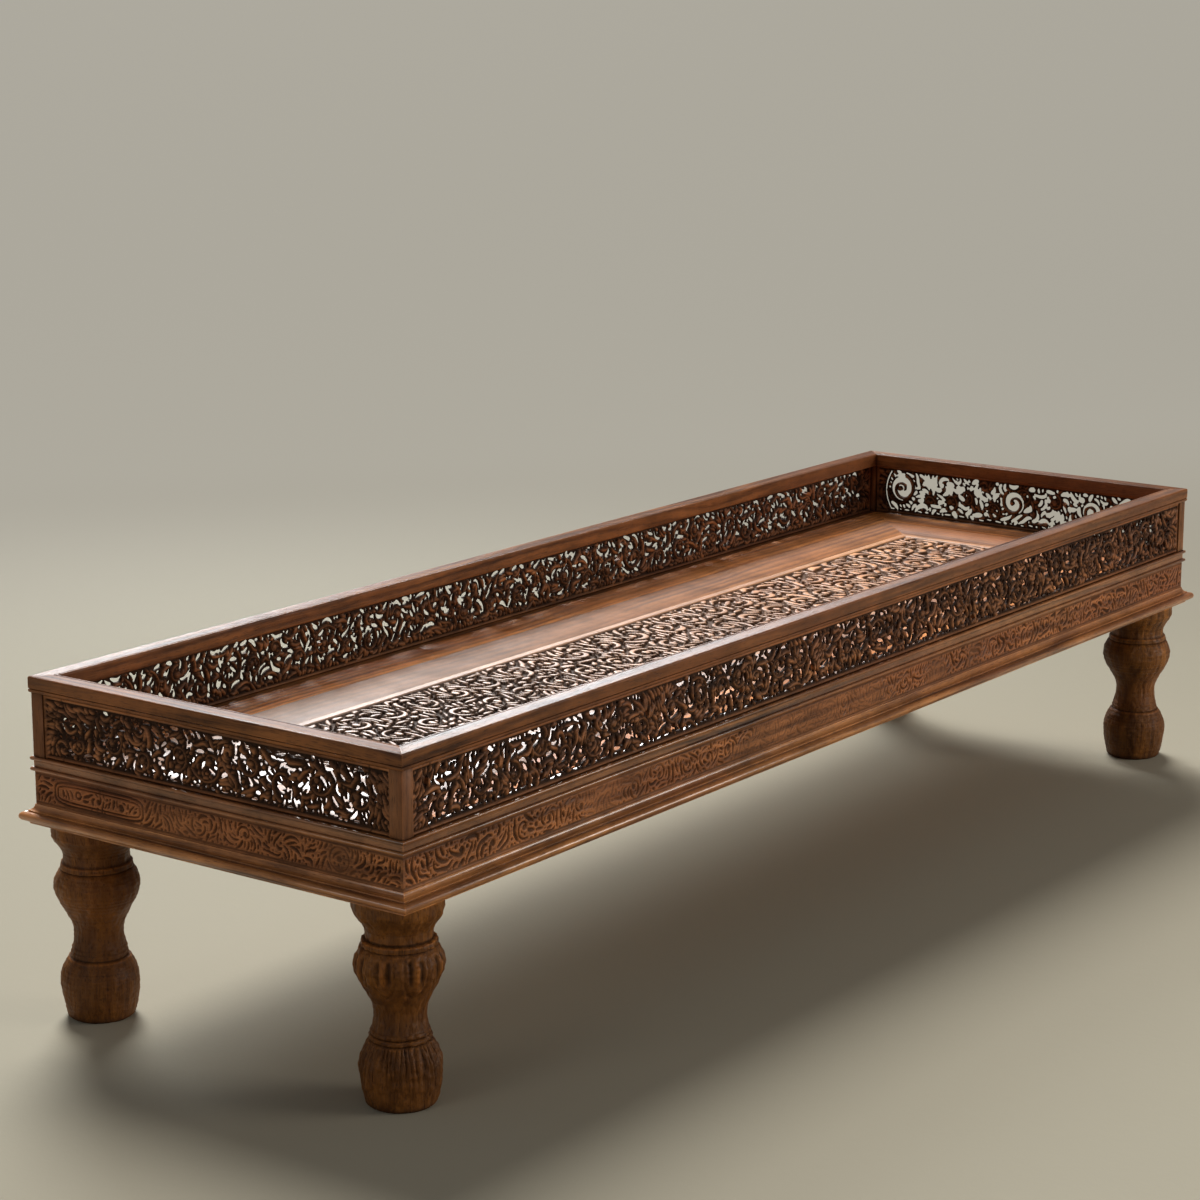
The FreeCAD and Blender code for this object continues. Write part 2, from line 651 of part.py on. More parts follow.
def make_deck_ring(name, outer, inner, screw_line):
    for side in SIDES:
        body, run = side_body(f"{name}_{side}", side, DECK_BASE)
        mitred_board(body, run, outer, inner, "deck_thickness")
        if run == "takht_length":
            holes = new_sketch(body, body.Name + "ScrewHoles")
            for index in SCREWED_BEARERS:
                ring(holes, bearer_place(index), screw_line, SCREW_HOLE)
            cut_into(body, holes, "screw_bite", ahead=True)


def curl(sketch, x, y, mouth):
    """A crescent round (x, y) with a boss in it. Its mouth opens along +X for 1 and along -X for -1."""
    tips = f"({x} + {mouth} * sqrt(curl_radius^2 - curl_mouth^2))"
    hollow = f"({tips} - {mouth} * sqrt(curl_inner_radius^2 - curl_mouth^2))"
    outline(sketch, [
        (tips, f"{y} - curl_mouth", "x", x, -mouth),
        (tips, f"{y} + curl_mouth", "x", hollow, mouth),
    ])
    ring(sketch, x, y, "curl_boss_radius")


def make_carved_panel():
    """The centre panel: a groove round a sunk field, and three rows of curls standing in the field."""
    body = new_body("deck_carved_panel", z=DECK_BASE)
    long_half, short_half = PANEL_HALF_LENGTH, PANEL_HALF_WIDTH
    plan = new_sketch(body, "PanelPlan")
    box_outline(plan, f"-{long_half}", f"-{short_half}", long_half, short_half)
    pad(body, plan, "deck_thickness")
    groove = new_sketch(body, "PanelGroove", offset="deck_thickness")
    for border in ("panel_border_width", "(panel_border_width + panel_groove_width)"):
        edge_x, edge_y = f"({long_half} - {border})", f"({short_half} - {border})"
        box_outline(groove, f"-{edge_x}", f"-{edge_y}", edge_x, edge_y)
    cut_into(body, groove, "panel_groove_depth", ahead=False)
    field = new_sketch(body, "PanelField", offset="deck_thickness")
    box_outline(field, f"-{edge_x}", f"-{edge_y}", edge_x, edge_y)
    cut_into(body, field, "carving_depth", ahead=False)
    curls = new_sketch(body, "PanelCurls", offset="deck_thickness - carving_depth")
    step = f"(2 * {edge_x} / {CURL_COLUMNS})"
    for row, mouth in ((-1, -1), (0, 1), (1, -1)):
        curl(curls, f"({step} / 2 - {edge_x})", f"({row} * {edge_y} * 0.6)", mouth)
    column = pad(body, curls, "carving_depth")
    rows = body.newObject("PartDesign::LinearPattern", "PanelCurlRows")
    rows.Originals = [column]
    rows.Direction = (curls, ["H_Axis"])
    rows.Occurrences = CURL_COLUMNS
    bind(rows, "Length", f"2 * {edge_x} - {step}")
    body.Tip = rows
    holes = new_sketch(body, "PanelScrewHoles")
    for index in SCREWED_BEARERS:
        for sign in ("", "-"):
            ring(holes, bearer_place(index), f"{sign}{short_half} / 2", SCREW_HOLE)
    cut_into(body, holes, "screw_bite", ahead=True)


make_carved_panel()
make_deck_ring("deck_inner_board", total(OUTER_BOARD_EDGE, "board_gap"), INNER_BOARD_EDGE, INNER_SCREW_LINE)
make_deck_ring("deck_outer_board", DECK_EDGE, OUTER_BOARD_EDGE, DECK_SCREW_LINE)

# Bearers: they stand on the base rails' flanges and carry the deck

BEARER_HEIGHT = f"({DECK_BASE} - {APRON_BASE})"
DECK_SCREW_PLACES = [
    f"{sign}{place}"
    for sign in ("", "-")
    for place in (
        f"({PANEL_HALF_WIDTH} / 2)",
        f"(takht_width / 2 - {INNER_SCREW_LINE})",
        f"(takht_width / 2 - {DECK_SCREW_LINE})",
    )
]


def make_cross_bearer(index):
    body = new_body(f"cross_bearer_{index + 1}", x=bearer_place(index), z=APRON_BASE)
    plan = new_sketch(body, body.Name + "Plan")
    wide, reach = "bearer_width / 2", f"(takht_width / 2 - {DECK_EDGE})"
    box_outline(plan, f"-{wide}", f"-{reach}", wide, reach)
    pad(body, plan, BEARER_HEIGHT)
    if index in SCREWED_BEARERS:
        holes = new_sketch(body, body.Name + "DeckScrewHoles")
        for place in DECK_SCREW_PLACES:
            ring(holes, "0", place, SCREW_HOLE)
        cut_through(body, holes)
    rail_holes = new_sketch(body, body.Name + "RailScrewHoles")
    for sign in ("", "-"):
        ring(rail_holes, "0", f"{sign}(takht_width / 2 - {RAIL_SCREW_LINE})", SCREW_HOLE)
    cut_into(body, rail_holes, "rail_screw_bite", ahead=True)


def make_end_bearer(side):
    """A bearer along the short side, between the legs' posts."""
    body, run = side_body(f"end_bearer_{side}", side, APRON_BASE)
    plan = new_sketch(body, body.Name + "Plan")
    reach = f"({run} / 2 - {LEG_BACK} - board_gap)"
    box_outline(plan, f"-{reach}", DECK_EDGE, reach, f"{DECK_EDGE} + end_bearer_width")
    pad(body, plan, BEARER_HEIGHT)
    holes = new_sketch(body, body.Name + "ScrewHoles")
    for sign in ("", "-"):
        ring(holes, f"{sign}{PANEL_HALF_WIDTH}", RAIL_SCREW_LINE, SCREW_HOLE)
    cut_into(body, holes, "rail_screw_bite", ahead=True)


for index in range(CROSS_BEARERS):
    make_cross_bearer(index)
for side in ("left", "right"):
    make_end_bearer(side)


# Pegs: one through each leg's post into each of the two aprons beside it

def make_pegs():
    pegs = []
    length = "(leg_post_size + peg_reach - round_gap)"
    for corner, (side_x, side_y, turn) in CORNERS.items():
        x = f"{side_x} * (takht_length / 2 - {LEG_INSET})"
        y = f"{side_y} * (takht_width / 2 - {LEG_INSET})"
        for number, level in enumerate(PEG_LEVELS):
            angle = math.radians(turn + (90, 0)[number])
            toward_x, toward_y = round(math.cos(angle)), round(math.sin(angle))
            peg = doc.addObject("Part::Cylinder", f"Peg{corner}{number}")
            bind(peg, "Radius", "peg_radius")
            bind(peg, "Height", length)
            axis = Vector(-toward_x, -toward_y, 0)
            peg.Placement = FreeCAD.Placement(Vector(0, 0, 0), FreeCAD.Rotation(Vector(0, 0, 1), axis))
            bind(peg, "Placement.Base.x", f"{x} + {toward_x} * leg_post_size / 2")
            bind(peg, "Placement.Base.y", f"{y} + {toward_y} * leg_post_size / 2")
            bind(peg, "Placement.Base.z", level)
            pegs.append(peg)
    group = doc.addObject("Part::Compound", "leg_pegs")
    group.Label = "leg_pegs"
    group.Links = pegs
    parts.append(group)


make_pegs()


# Screws: driven upward, their heads under what they hold

def screw(x, y, head_level, length):
    """A flat-headed screw whose head's top is at the level, pointing up."""
    head_height = measure("screw_head_height")
    start = Vector(x, y, head_level - head_height)
    head = Part.makeCylinder(measure("screw_head_radius"), head_height, start)
    shank = Part.makeCylinder(measure("screw_radius"), length + head_height, start)
    return head.fuse(shank).removeSplitter().Solids[0]


def make_screws(label, places, head_level, length):
    group = doc.addObject("Part::Feature", label)
    group.Label = label
    level, reach = measure(head_level), measure(length)
    group.Shape = Part.makeCompound([screw(measure(x), measure(y), level, reach) for x, y in places])
    parts.append(group)


deck_screw_places = [(bearer_place(index), y) for index in SCREWED_BEARERS for y in DECK_SCREW_PLACES]
make_screws("deck_screws", deck_screw_places, APRON_BASE, f"{BEARER_HEIGHT} + screw_bite - round_gap")
rail_screw_places = [
    (bearer_place(index), f"{sign}(takht_width / 2 - {RAIL_SCREW_LINE})")
    for index in range(CROSS_BEARERS)
    for sign in ("", "-")
]
rail_screw_places += [
    (f"{sign_x}(takht_length / 2 - {RAIL_SCREW_LINE})", f"{sign_y}{PANEL_HALF_WIDTH}")
    for sign_x in ("", "-")
    for sign_y in ("", "-")
]
make_screws("rail_screws", rail_screw_places, LEG_TOP, "base_rail_height + rail_screw_bite - round_gap")

doc.recompute()

# Every object is sound before anything is written

GROWING = ("PartDesign::Pad", "PartDesign::LinearPattern")
for item in doc.Objects:
    if "Invalid" in item.State or "Error" in item.State:
        raise RuntimeError(f"{item.Name} failed: {item.State}")
for body in [part for part in parts if part.TypeId == "PartDesign::Body"]:
    features = [item for item in body.Group if item.TypeId.startswith("PartDesign::")]
    for before, after in zip(features, features[1:]):
        grew = after.Shape.Volume > before.Shape.Volume
        if grew != (after.TypeId in GROWING) or after.Shape.Volume == before.Shape.Volume:
            raise RuntimeError(f"{after.Name} changes nothing")
for part in parts:
    if part.Shape.isNull() or not part.Shape.isValid():
        raise RuntimeError(f"{part.Label} has no sound shape")
    part.Shape.exportStep(os.path.join("parts", part.Label + ".step"))
print(len(parts), "parts")
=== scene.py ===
import math

import bpy
import numpy as np
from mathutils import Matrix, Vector


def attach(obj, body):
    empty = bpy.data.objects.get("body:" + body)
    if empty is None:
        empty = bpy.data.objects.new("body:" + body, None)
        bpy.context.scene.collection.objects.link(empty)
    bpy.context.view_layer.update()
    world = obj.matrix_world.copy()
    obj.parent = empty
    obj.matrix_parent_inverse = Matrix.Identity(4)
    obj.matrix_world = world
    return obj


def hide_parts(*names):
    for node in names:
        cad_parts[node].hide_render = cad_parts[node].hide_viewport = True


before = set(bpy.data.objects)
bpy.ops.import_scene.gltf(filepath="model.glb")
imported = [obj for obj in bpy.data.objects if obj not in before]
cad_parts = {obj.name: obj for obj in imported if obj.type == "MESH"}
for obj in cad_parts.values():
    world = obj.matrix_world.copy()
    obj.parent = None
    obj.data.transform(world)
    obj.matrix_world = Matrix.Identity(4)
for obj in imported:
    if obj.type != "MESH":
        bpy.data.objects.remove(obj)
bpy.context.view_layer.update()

# The takht stands on a plain pale floor that runs up into a plain wall. A soft sun from behind its
# far corner throws the shadows forward, a window lamp gives the deck its sheen, and two broad lamps
# light the near sides.

PHOTO_PIXELS, FOCAL_PIXELS, SENSOR_MM = 1200, 3073.23, 36.0
CAMERA_PLACE, CAMERA_AIM = (-3.3803, -2.3442, 1.3171), (0.78479, 0.57872, -0.22178)
NEAREST_SEEN, FARTHEST_SEEN = 0.05, 300
FLOOR_RADIUS, FLOOR_CORNERS = 60.0, 96
FLOOR_NEAR, FLOOR_FAR = (0.372, 0.340, 0.262), (0.475, 0.450, 0.385)
FLOOR_WAY, FADE_FROM, FADE_TO = (0.62, 0.78, 0.0), 0.6, 3.4
WALL_COLOUR, SKY_COLOUR, SKY_STRENGTH = (0.44, 0.42, 0.355), (0.97, 0.98, 1.0), 0.135
DAY_PLACE, DAY_WAY = (3.0, 3.2, 3.4), (-0.438, -0.470, -0.766)
DAY_STRENGTH, DAY_SOFT, DAY_COLOUR = 2.8, math.radians(22), (1.0, 0.99, 0.965)
LAMPS = {  # place, target, width and height, watts, spread in degrees, colour
    "lamp_window": ((2.02, 2.91, 2.63), (-0.55, 0.0, 0.33), (1.9, 1.6), 27, 70, (0.93, 0.97, 1.0)),
    "lamp_front": ((2.4, -4.8, 1.5), (0.1, 0.0, 0.25), (2.6, 1.6), 42, 100, (1.0, 0.94, 0.86)),
    "lamp_side": ((-5.2, 0.6, 1.6), (-0.9, 0.0, 0.25), (2.0, 1.6), 8.3, 100, (1.0, 0.97, 0.93))}


def put(tree, kind, inputs=None, **settings):
    """A shader node with its settings. An input is a plain value or another node's output."""
    node = tree.nodes.new("ShaderNode" + kind)
    for key, value in settings.items():
        setattr(node, key, value)
    for key, value in (inputs or {}).items():
        if isinstance(value, bpy.types.NodeSocket):
            tree.links.new(value, node.inputs[key])
        else:
            node.inputs[key].default_value = value
    return node


def cleared(holder):
    """The node tree of a material or world, emptied."""
    holder.use_nodes = True
    holder.node_tree.nodes.clear()
    return holder.node_tree


def opaque(colour):
    return (*colour, 1.0)


def ramped(tree, value, low, high, to_low=0.0, to_high=1.0, curve="LINEAR"):
    """Maps a value from low..high to another range and holds it there."""
    names = ("Value", "From Min", "From Max", "To Min", "To Max")
    inputs = dict(zip(names, (value, low, high, to_low, to_high)))
    return put(tree, "MapRange", inputs, interpolation_type=curve).outputs[0]


def mixed(tree, share, first, second, blend="MIX"):
    return put(tree, "Mix", {0: share, 6: first, 7: second}, data_type="RGBA", blend_type=blend).outputs[2]


def scaled(tree, vector, factor):
    return put(tree, "VectorMath", {0: vector, 1: factor}, operation="MULTIPLY").outputs[0]


def noise(tree, vector, scale, detail, roughness=0.5):
    names = ("Vector", "Scale", "Detail", "Roughness")
    return put(tree, "TexNoise", dict(zip(names, (vector, scale, detail, roughness)))).outputs["Fac"]


def painted(tree, inputs):
    """Ends a material in one Principled shader."""
    put(tree, "OutputMaterial", {"Surface": put(tree, "BsdfPrincipled", inputs).outputs[0]})


def new_mesh(name, points, faces):
    """A smooth mesh object from an array of points in metres and a list of faces."""
    mesh = bpy.data.meshes.new(name)
    mesh.from_pydata(points.tolist(), [], faces)
    mesh.shade_smooth()
    mesh.validate()
    mesh.update()
    thing = bpy.data.objects.new(name, mesh)
    bpy.context.scene.collection.objects.link(thing)
    return thing


def aimed(name, data, place, aim):
    """A lamp or camera that stands at a place and looks along a direction."""
    thing = bpy.data.objects.new(name, data)
    thing.location = place
    thing.rotation_mode = "QUATERNION"
    thing.rotation_quaternion = Vector(aim).to_track_quat("-Z", "Y")
    bpy.context.scene.collection.objects.link(thing)
    return thing


camera = bpy.data.cameras.new("camera")
camera.sensor_width = SENSOR_MM
camera.lens = FOCAL_PIXELS / PHOTO_PIXELS * SENSOR_MM
camera.clip_start, camera.clip_end = NEAREST_SEEN, FARTHEST_SEEN
bpy.context.scene.camera = aimed("camera", camera, CAMERA_PLACE, CAMERA_AIM)
bpy.context.scene.view_settings.view_transform = "Standard"

turns = np.linspace(0, 2 * math.pi, FLOOR_CORNERS, endpoint=False)
rim = np.stack([np.cos(turns), np.sin(turns), 0 * turns], 1) * FLOOR_RADIUS
floor = new_mesh("floor", rim, [list(range(FLOOR_CORNERS))])
floor_paint = bpy.data.materials.new("floor_paint")
tree = cleared(floor_paint)
spot = put(tree, "TexCoord").outputs["Object"]
backward = put(tree, "VectorMath", {0: spot, 1: FLOOR_WAY}, operation="DOT_PRODUCT").outputs["Value"]
sweep = ramped(tree, backward, FADE_FROM, FADE_TO, curve="SMOOTHSTEP")
cloud = ramped(tree, noise(tree, spot, 0.9, 3.0, 0.55), 0, 1, 0.97, 1.03)
cloud = put(tree, "Mix", {0: sweep, 2: cloud, 3: 1.0}, data_type="FLOAT").outputs[0]
tint = scaled(tree, mixed(tree, sweep, opaque(FLOOR_NEAR), opaque(FLOOR_FAR)), cloud)
speck = {"Height": noise(tree, spot, 55.0, 4.0, 0.7), "Strength": ramped(tree, sweep, 0, 1, 0.15, 0.0),
         "Distance": 0.002}
painted(tree, {"Base Color": tint, "Roughness": 0.85, "Specular IOR Level": 0.12,
               "Normal": put(tree, "Bump", speck).outputs[0]})
floor.data.materials.append(floor_paint)

bpy.context.scene.world = bpy.data.worlds.new("studio")
tree = cleared(bpy.context.scene.world)
seen = put(tree, "Background", {"Color": opaque(WALL_COLOUR), "Strength": 1.0})
light = put(tree, "Background", {"Color": opaque(SKY_COLOUR), "Strength": SKY_STRENGTH})
ray = put(tree, "LightPath")
swap = put(tree, "MixShader", {0: ray.outputs["Is Camera Ray"], 1: light.outputs[0], 2: seen.outputs[0]})
put(tree, "OutputWorld", {"Surface": swap.outputs[0]})

daylight = bpy.data.lights.new("daylight", "SUN")
daylight.energy, daylight.angle, daylight.color = DAY_STRENGTH, DAY_SOFT, DAY_COLOUR
aimed("daylight", daylight, DAY_PLACE, DAY_WAY)
for name, (place, target, size, watts, spread, colour) in LAMPS.items():
    lamp = bpy.data.lights.new(name, "AREA")
    lamp.shape, lamp.size, lamp.size_y = "RECTANGLE", size[0], size[1]
    lamp.energy, lamp.color, lamp.spread = watts, colour, math.radians(spread)
    aimed(name, lamp, place, Vector(target) - Vector(place)).visible_camera = False

# Four legs, each turned from one square post of dark hardwood: a foot bulb with fine flutes, a double
# bead, a waist, an upper bulb gouged with petals, a collar and a flared cap. The square top is pegged.
# The three tones of this wood, and of each one below, are its light, its dark and its red.

LEG_WOOD = (0.32, 0.122, 0.023), (0.100, 0.035, 0.007), (0.205, 0.065, 0.012)
# The darkest tone for hollows is old wax and painted shade; the multiplier that lightens rubbed parts is wear
# and a painted highlight.
OLD_WAX_AND_SHADE, RUB_AND_HIGHLIGHT_BRIGHT = (0.014, 0.006, 0.003), (1.85, 1.75, 1.6)
LEG_INSET, LEG_TURNS, LEG_POST_HALF, LEG_SHOULDER, LEG_TOP = 51.0, 216, 28.0, 244.0, 309.0
LEG_CARVING = {"front_left": 1.0, "back_left": 0.16, "front_right": 0.10, "back_right": 0.35}
PETALS, FLUTES, CAP_LEAVES = 8, 44, 14
FINE_FLUTED, BROAD_FLUTED = (10, 62, 74, 77), (10, 45, 70, 76)
PETALLED, CAP_GOUGED = (143, 160, 176, 184), (205, 212, 226, 234)
SCRIBED_RINGS = (62.0, 126.0, 148.0, 208.0)
CORNERS = {"front_left": (-1, -1), "front_right": (1, -1), "back_right": (1, 1), "back_left": (-1, 1)}
HALF_LONG, HALF_WIDE = 950.0, 288.0
GRAIN_TURN = {"x": (0, 0, 0), "y": (0, 0, -math.pi / 2), "z": (0, math.pi / 2, 0)}
BROWN, ORIGIN = opaque((0.2, 0.08, 0.03)), (0, 0, 0)


def shader_group(name, inputs, outputs):
    """An empty shader group. An input comes with its default, which tells a number from a vector and a
    colour, and an output with its kind."""
    group = bpy.data.node_groups.new(name, "ShaderNodeTree")
    for label, value in inputs.items():
        kind = {3: "Vector", 4: "Color"}[len(value)] if isinstance(value, tuple) else "Float"
        socket = group.interface.new_socket(label, in_out="INPUT", socket_type="NodeSocket" + kind)
        socket.default_value = value
    for label, kind in outputs.items():
        group.interface.new_socket(label, in_out="OUTPUT", socket_type="NodeSocket" + kind)
    return group, group.nodes.new("NodeGroupInput").outputs, group.nodes.new("NodeGroupOutput").inputs


def give_out(group, sockets, **values):
    """Links each value to the group's output of the same name."""
    for label, value in values.items():
        group.links.new(value, sockets[label])


def reckoned(tree, operation, first, second, clamp=False):
    return put(tree, "Math", {0: first, 1: second}, operation=operation, use_clamp=clamp).outputs[0]


# The grain runs along X: wandering growth rings, broad streaks, fine fibre and short dark pores.
grain, into, out = shader_group(
    "wood_grain", {"Vector": ORIGIN, "Light": BROWN, "Dark": BROWN, "Red": BROWN, "Ring Share": 0.4},
    {"Color": "Color", "Height": "Float", "Fibre": "Float"})
wander = put(grain, "TexNoise", {"Vector": scaled(grain, into["Vector"], (1.6, 7.0, 7.0)), "Scale": 1.0,
                                 "Detail": 2.0}).outputs["Color"]
sway = scaled(grain, wander, (0.0, 0.05, 0.05))
swayed = put(grain, "VectorMath", {0: into["Vector"], 1: sway}, operation="ADD").outputs[0]
rings = put(grain, "TexWave", {"Vector": swayed, "Scale": 30.0, "Distortion": 1.2, "Detail": 2.0,
                               "Detail Scale": 1.5}, wave_type="RINGS", rings_direction="X").outputs["Fac"]
streak = noise(grain, scaled(grain, swayed, (2.4, 62.0, 62.0)), 1.0, 5.0, 0.6)
fibre = noise(grain, scaled(grain, swayed, (20.0, 560.0, 560.0)), 1.0, 3.0, 0.6)
pore = noise(grain, scaled(grain, swayed, (75.0, 1300.0, 1300.0)), 1.0, 1.0)
tone = noise(grain, scaled(grain, into["Vector"], (2.6, 9.0, 9.0)), 1.0, 3.0)
pores = ramped(grain, pore, 0.60, 0.70)
ring_part = reckoned(grain, "MULTIPLY", rings, into["Ring Share"])
figure = reckoned(grain, "ADD", ramped(grain, streak, 0.30, 0.72), ring_part)
figure = reckoned(grain, "ADD", figure, ramped(grain, fibre, 0.30, 0.70, 0.0, 0.45))
shade = ramped(grain, figure, 0.38, 1.22)
stain = mixed(grain, shade, into["Dark"], into["Light"])
stain = mixed(grain, ramped(grain, tone, 0.40, 0.66, 0.0, 0.65), stain, into["Red"])
stain = mixed(grain, ramped(grain, pores, 0, 1, 0.0, 0.55), stain, into["Dark"], "MULTIPLY")
raised = reckoned(grain, "SUBTRACT", shade, reckoned(grain, "MULTIPLY", pores, 0.9))
give_out(grain, out, Color=stain, Height=raised, Fibre=fibre)

# Rubbed arrises, painted lighter as wear and as a painted highlight: the difference between the true normal
# and one rounded over a small radius. Creases, painted darker as dust and old wax and as painted shade: what
# the nearby surfaces hide.
arris, into, out = shader_group(
    "rubbed_arris", {"Radius": 0.0022, "Vector": ORIGIN}, {"Mask": "Float", "Crease": "Float"})
rounded = put(arris, "Bevel", {"Radius": into["Radius"]}, samples=4).outputs[0]
true_normal = put(arris, "NewGeometry").outputs["Normal"]
turned = put(arris, "VectorMath", {0: rounded, 1: true_normal}, operation="DOT_PRODUCT").outputs["Value"]
patchy = ramped(arris, noise(arris, into["Vector"], 38.0, 4.0, 0.65), 0.36, 0.62)
rubbed = reckoned(arris, "MULTIPLY", ramped(arris, turned, 0.995, 0.86), patchy)
nearby = put(arris, "AmbientOcclusion", {"Distance": 0.006}, samples=4).outputs["AO"]
give_out(arris, out, Mask=rubbed, Crease=ramped(arris, nearby, 0.90, 0.45, 0.0, 0.85))

# Old wax and dust that settle in hollows and thin out over the raised parts, with painted shade in the same
# hollows and a painted highlight on the rubbed parts.
patina_and_light, into, out = shader_group(
    "hollow_patina", {"Color": BROWN, "Deep": BROWN, "Wax And Shade": 0.0, "Rub And Highlight": 0.0, "Vector": ORIGIN, "Wax": 0.3},
    {"Color": "Color", "Matt": "Float", "Polish": "Float"})
blotch = noise(patina_and_light, into["Vector"], 16.0, 4.0, 0.6)
darkening_noise = ramped(patina_and_light, noise(patina_and_light, into["Vector"], 240.0, 3.0, 0.6), 0.3, 0.7, 0.80, 1.0)
worn_and_highlit = mixed(patina_and_light, ramped(patina_and_light, blotch, 0.35, 0.70, 0.0, 0.42), into["Color"], into["Deep"])
worn_and_highlit = mixed(patina_and_light, into["Rub And Highlight"], worn_and_highlit, mixed(patina_and_light, 1.0, worn_and_highlit, opaque(RUB_AND_HIGHLIGHT_BRIGHT), "MULTIPLY"))
depth = reckoned(patina_and_light, "MULTIPLY", into["Wax And Shade"], darkening_noise)
waxed = reckoned(patina_and_light, "MULTIPLY", reckoned(patina_and_light, "SUBTRACT", 1.0, depth, clamp=True), into["Wax"])
polish = reckoned(patina_and_light, "MULTIPLY", waxed, ramped(patina_and_light, blotch, 0.30, 0.66, 1.0, 0.62))
give_out(patina_and_light, out, Color=mixed(patina_and_light, depth, worn_and_highlit, into["Deep"]), Matt=depth, Polish=polish)


def wood(name, along, tones, wax, relief, ring_share=0.4, gloss=0.46, wax_gloss=0.38, film=1.5,
         shift=ORIGIN, arris_radius=0.0, painted_sheen=None, far_wax=0.35):
    """Waxed hardwood with its grain along one axis, made once for each name. Carved pieces bring, at each
    point, one value for how dark it is painted, old wax and painted shade in hollows, and one for how light
    it is painted, wear and a painted highlight on rubbed parts; plain ones find theirs from the surface. A
    pale tone painted towards the left end is a painted sheen, and far_wax is the share of the wax at the
    right end."""
    if name in bpy.data.materials:
        return bpy.data.materials[name]
    finish = bpy.data.materials.new(name)
    tree = cleared(finish)
    place = put(tree, "TexCoord").outputs["Object"]
    laid = put(tree, "Mapping", {"Vector": place, "Rotation": GRAIN_TURN[along], "Location": shift})
    inputs = {"Vector": laid.outputs[0], "Ring Share": ring_share}
    inputs.update(zip(("Light", "Dark", "Red"), map(opaque, tones)))
    figure = put(tree, "Group", inputs, node_tree=grain).outputs
    figured = figure["Color"]
    # Painted sheen: a pale tone mixed in towards the left end, where the deck shows a bright reflection; the
    # wax coat also grows there.
    if painted_sheen:
        leftward = ramped(tree, put(tree, "SeparateXYZ", {"Vector": place}).outputs["X"], 0.55, -0.75)
        figured = mixed(tree, ramped(tree, leftward, 0, 1, 0.0, 0.6), figured, opaque(painted_sheen))
        wax = ramped(tree, leftward, 0, 1, far_wax * wax, wax)
    # Hollows are painted darker, old wax and painted shade, and rubbed parts lighter, wear and a painted
    # highlight.
    if arris_radius:
        edges = put(tree, "Group", {"Vector": place, "Radius": arris_radius}, node_tree=arris).outputs
        hollow, rub = edges["Crease"], edges["Mask"]
    else:
        hollow = put(tree, "Attribute", attribute_name="hollow").outputs["Fac"]
        rub = put(tree, "Attribute", attribute_name="rub").outputs["Fac"]
    aged_and_lit = put(tree, "Group", {"Vector": place, "Color": figured, "Deep": opaque(OLD_WAX_AND_SHADE), "Wax": wax,
                                "Wax And Shade": hollow, "Rub And Highlight": rub}, node_tree=patina_and_light).outputs
    shine = ramped(tree, figure["Fibre"], 0.25, 0.75, gloss - 0.06, gloss + 0.10)
    shine = reckoned(tree, "ADD", shine, reckoned(tree, "MULTIPLY", aged_and_lit["Matt"], 0.35), clamp=True)
    bumps = put(tree, "Bump", {"Height": figure["Height"], "Strength": relief, "Distance": 0.0007})
    painted(tree, {"Base Color": aged_and_lit["Color"], "Roughness": shine, "Normal": bumps.outputs[0],
                   "Specular IOR Level": 0.15, "Coat Weight": aged_and_lit["Polish"], "Coat Roughness": wax_gloss,
                   "Coat IOR": film})
    return finish


def carved_piece(name, points, faces, crease, finish, node, slot, **values):
    """A carved mesh that stands for a CAD node. Edges sharper than the crease stay sharp. Each named value
    is stored for the first points, held between zero and one; the others have zero."""
    piece = new_mesh(name, points, faces)
    piece.data.set_sharp_from_angle(angle=math.radians(crease))
    for label, numbers in values.items():
        stored = np.zeros(len(points), np.float32)
        stored[:numbers.size] = np.clip(numbers, 0, 1).ravel()
        piece.data.attributes.new(label, "FLOAT", "POINT").data.foreach_set("value", stored)
    piece.data.materials.append(finish)
    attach(piece, "root")
    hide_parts(node)


def rise(value, low, high):
    """Zero below low, one above high, an S between."""
    t = np.clip((value - low) / (high - low), 0, 1)
    return t * t * (3 - 2 * t)


def band(value, start, full, fade, end):
    """Rises from start to full and falls back from fade to end."""
    return rise(value, start, full) * (1 - rise(value, fade, end))


def hump(value, middle, width):
    """A bell shape: e to minus the square of the distance from the middle over the width."""
    return np.exp(-((value - middle) / width) ** 2)


def wave(angle):
    """A wave between zero and one."""
    return 0.5 + 0.5 * np.cos(angle)


def profile_run(radius, height, end_radius, end_height, swell, count):
    """One stretch of the turning up to its end: a quarter sine that is level at its end ('out') or its start
    ('in'), an S ('ease'), or a half round bead of a given crest."""
    t = np.linspace(0, 1, count, endpoint=False)
    ways = {"out": np.sin(t * math.pi / 2), "in": 1 - np.cos(t * math.pi / 2),
            "ease": (1 - np.cos(t * math.pi)) / 2}
    across = radius + (end_radius - radius) * ways.get(swell, t)
    if swell not in ways:
        across += swell * np.sqrt(np.clip(1 - (2 * t - 1) ** 2, 0, 1))
    return np.stack([across, height + (end_height - height) * t], 1)


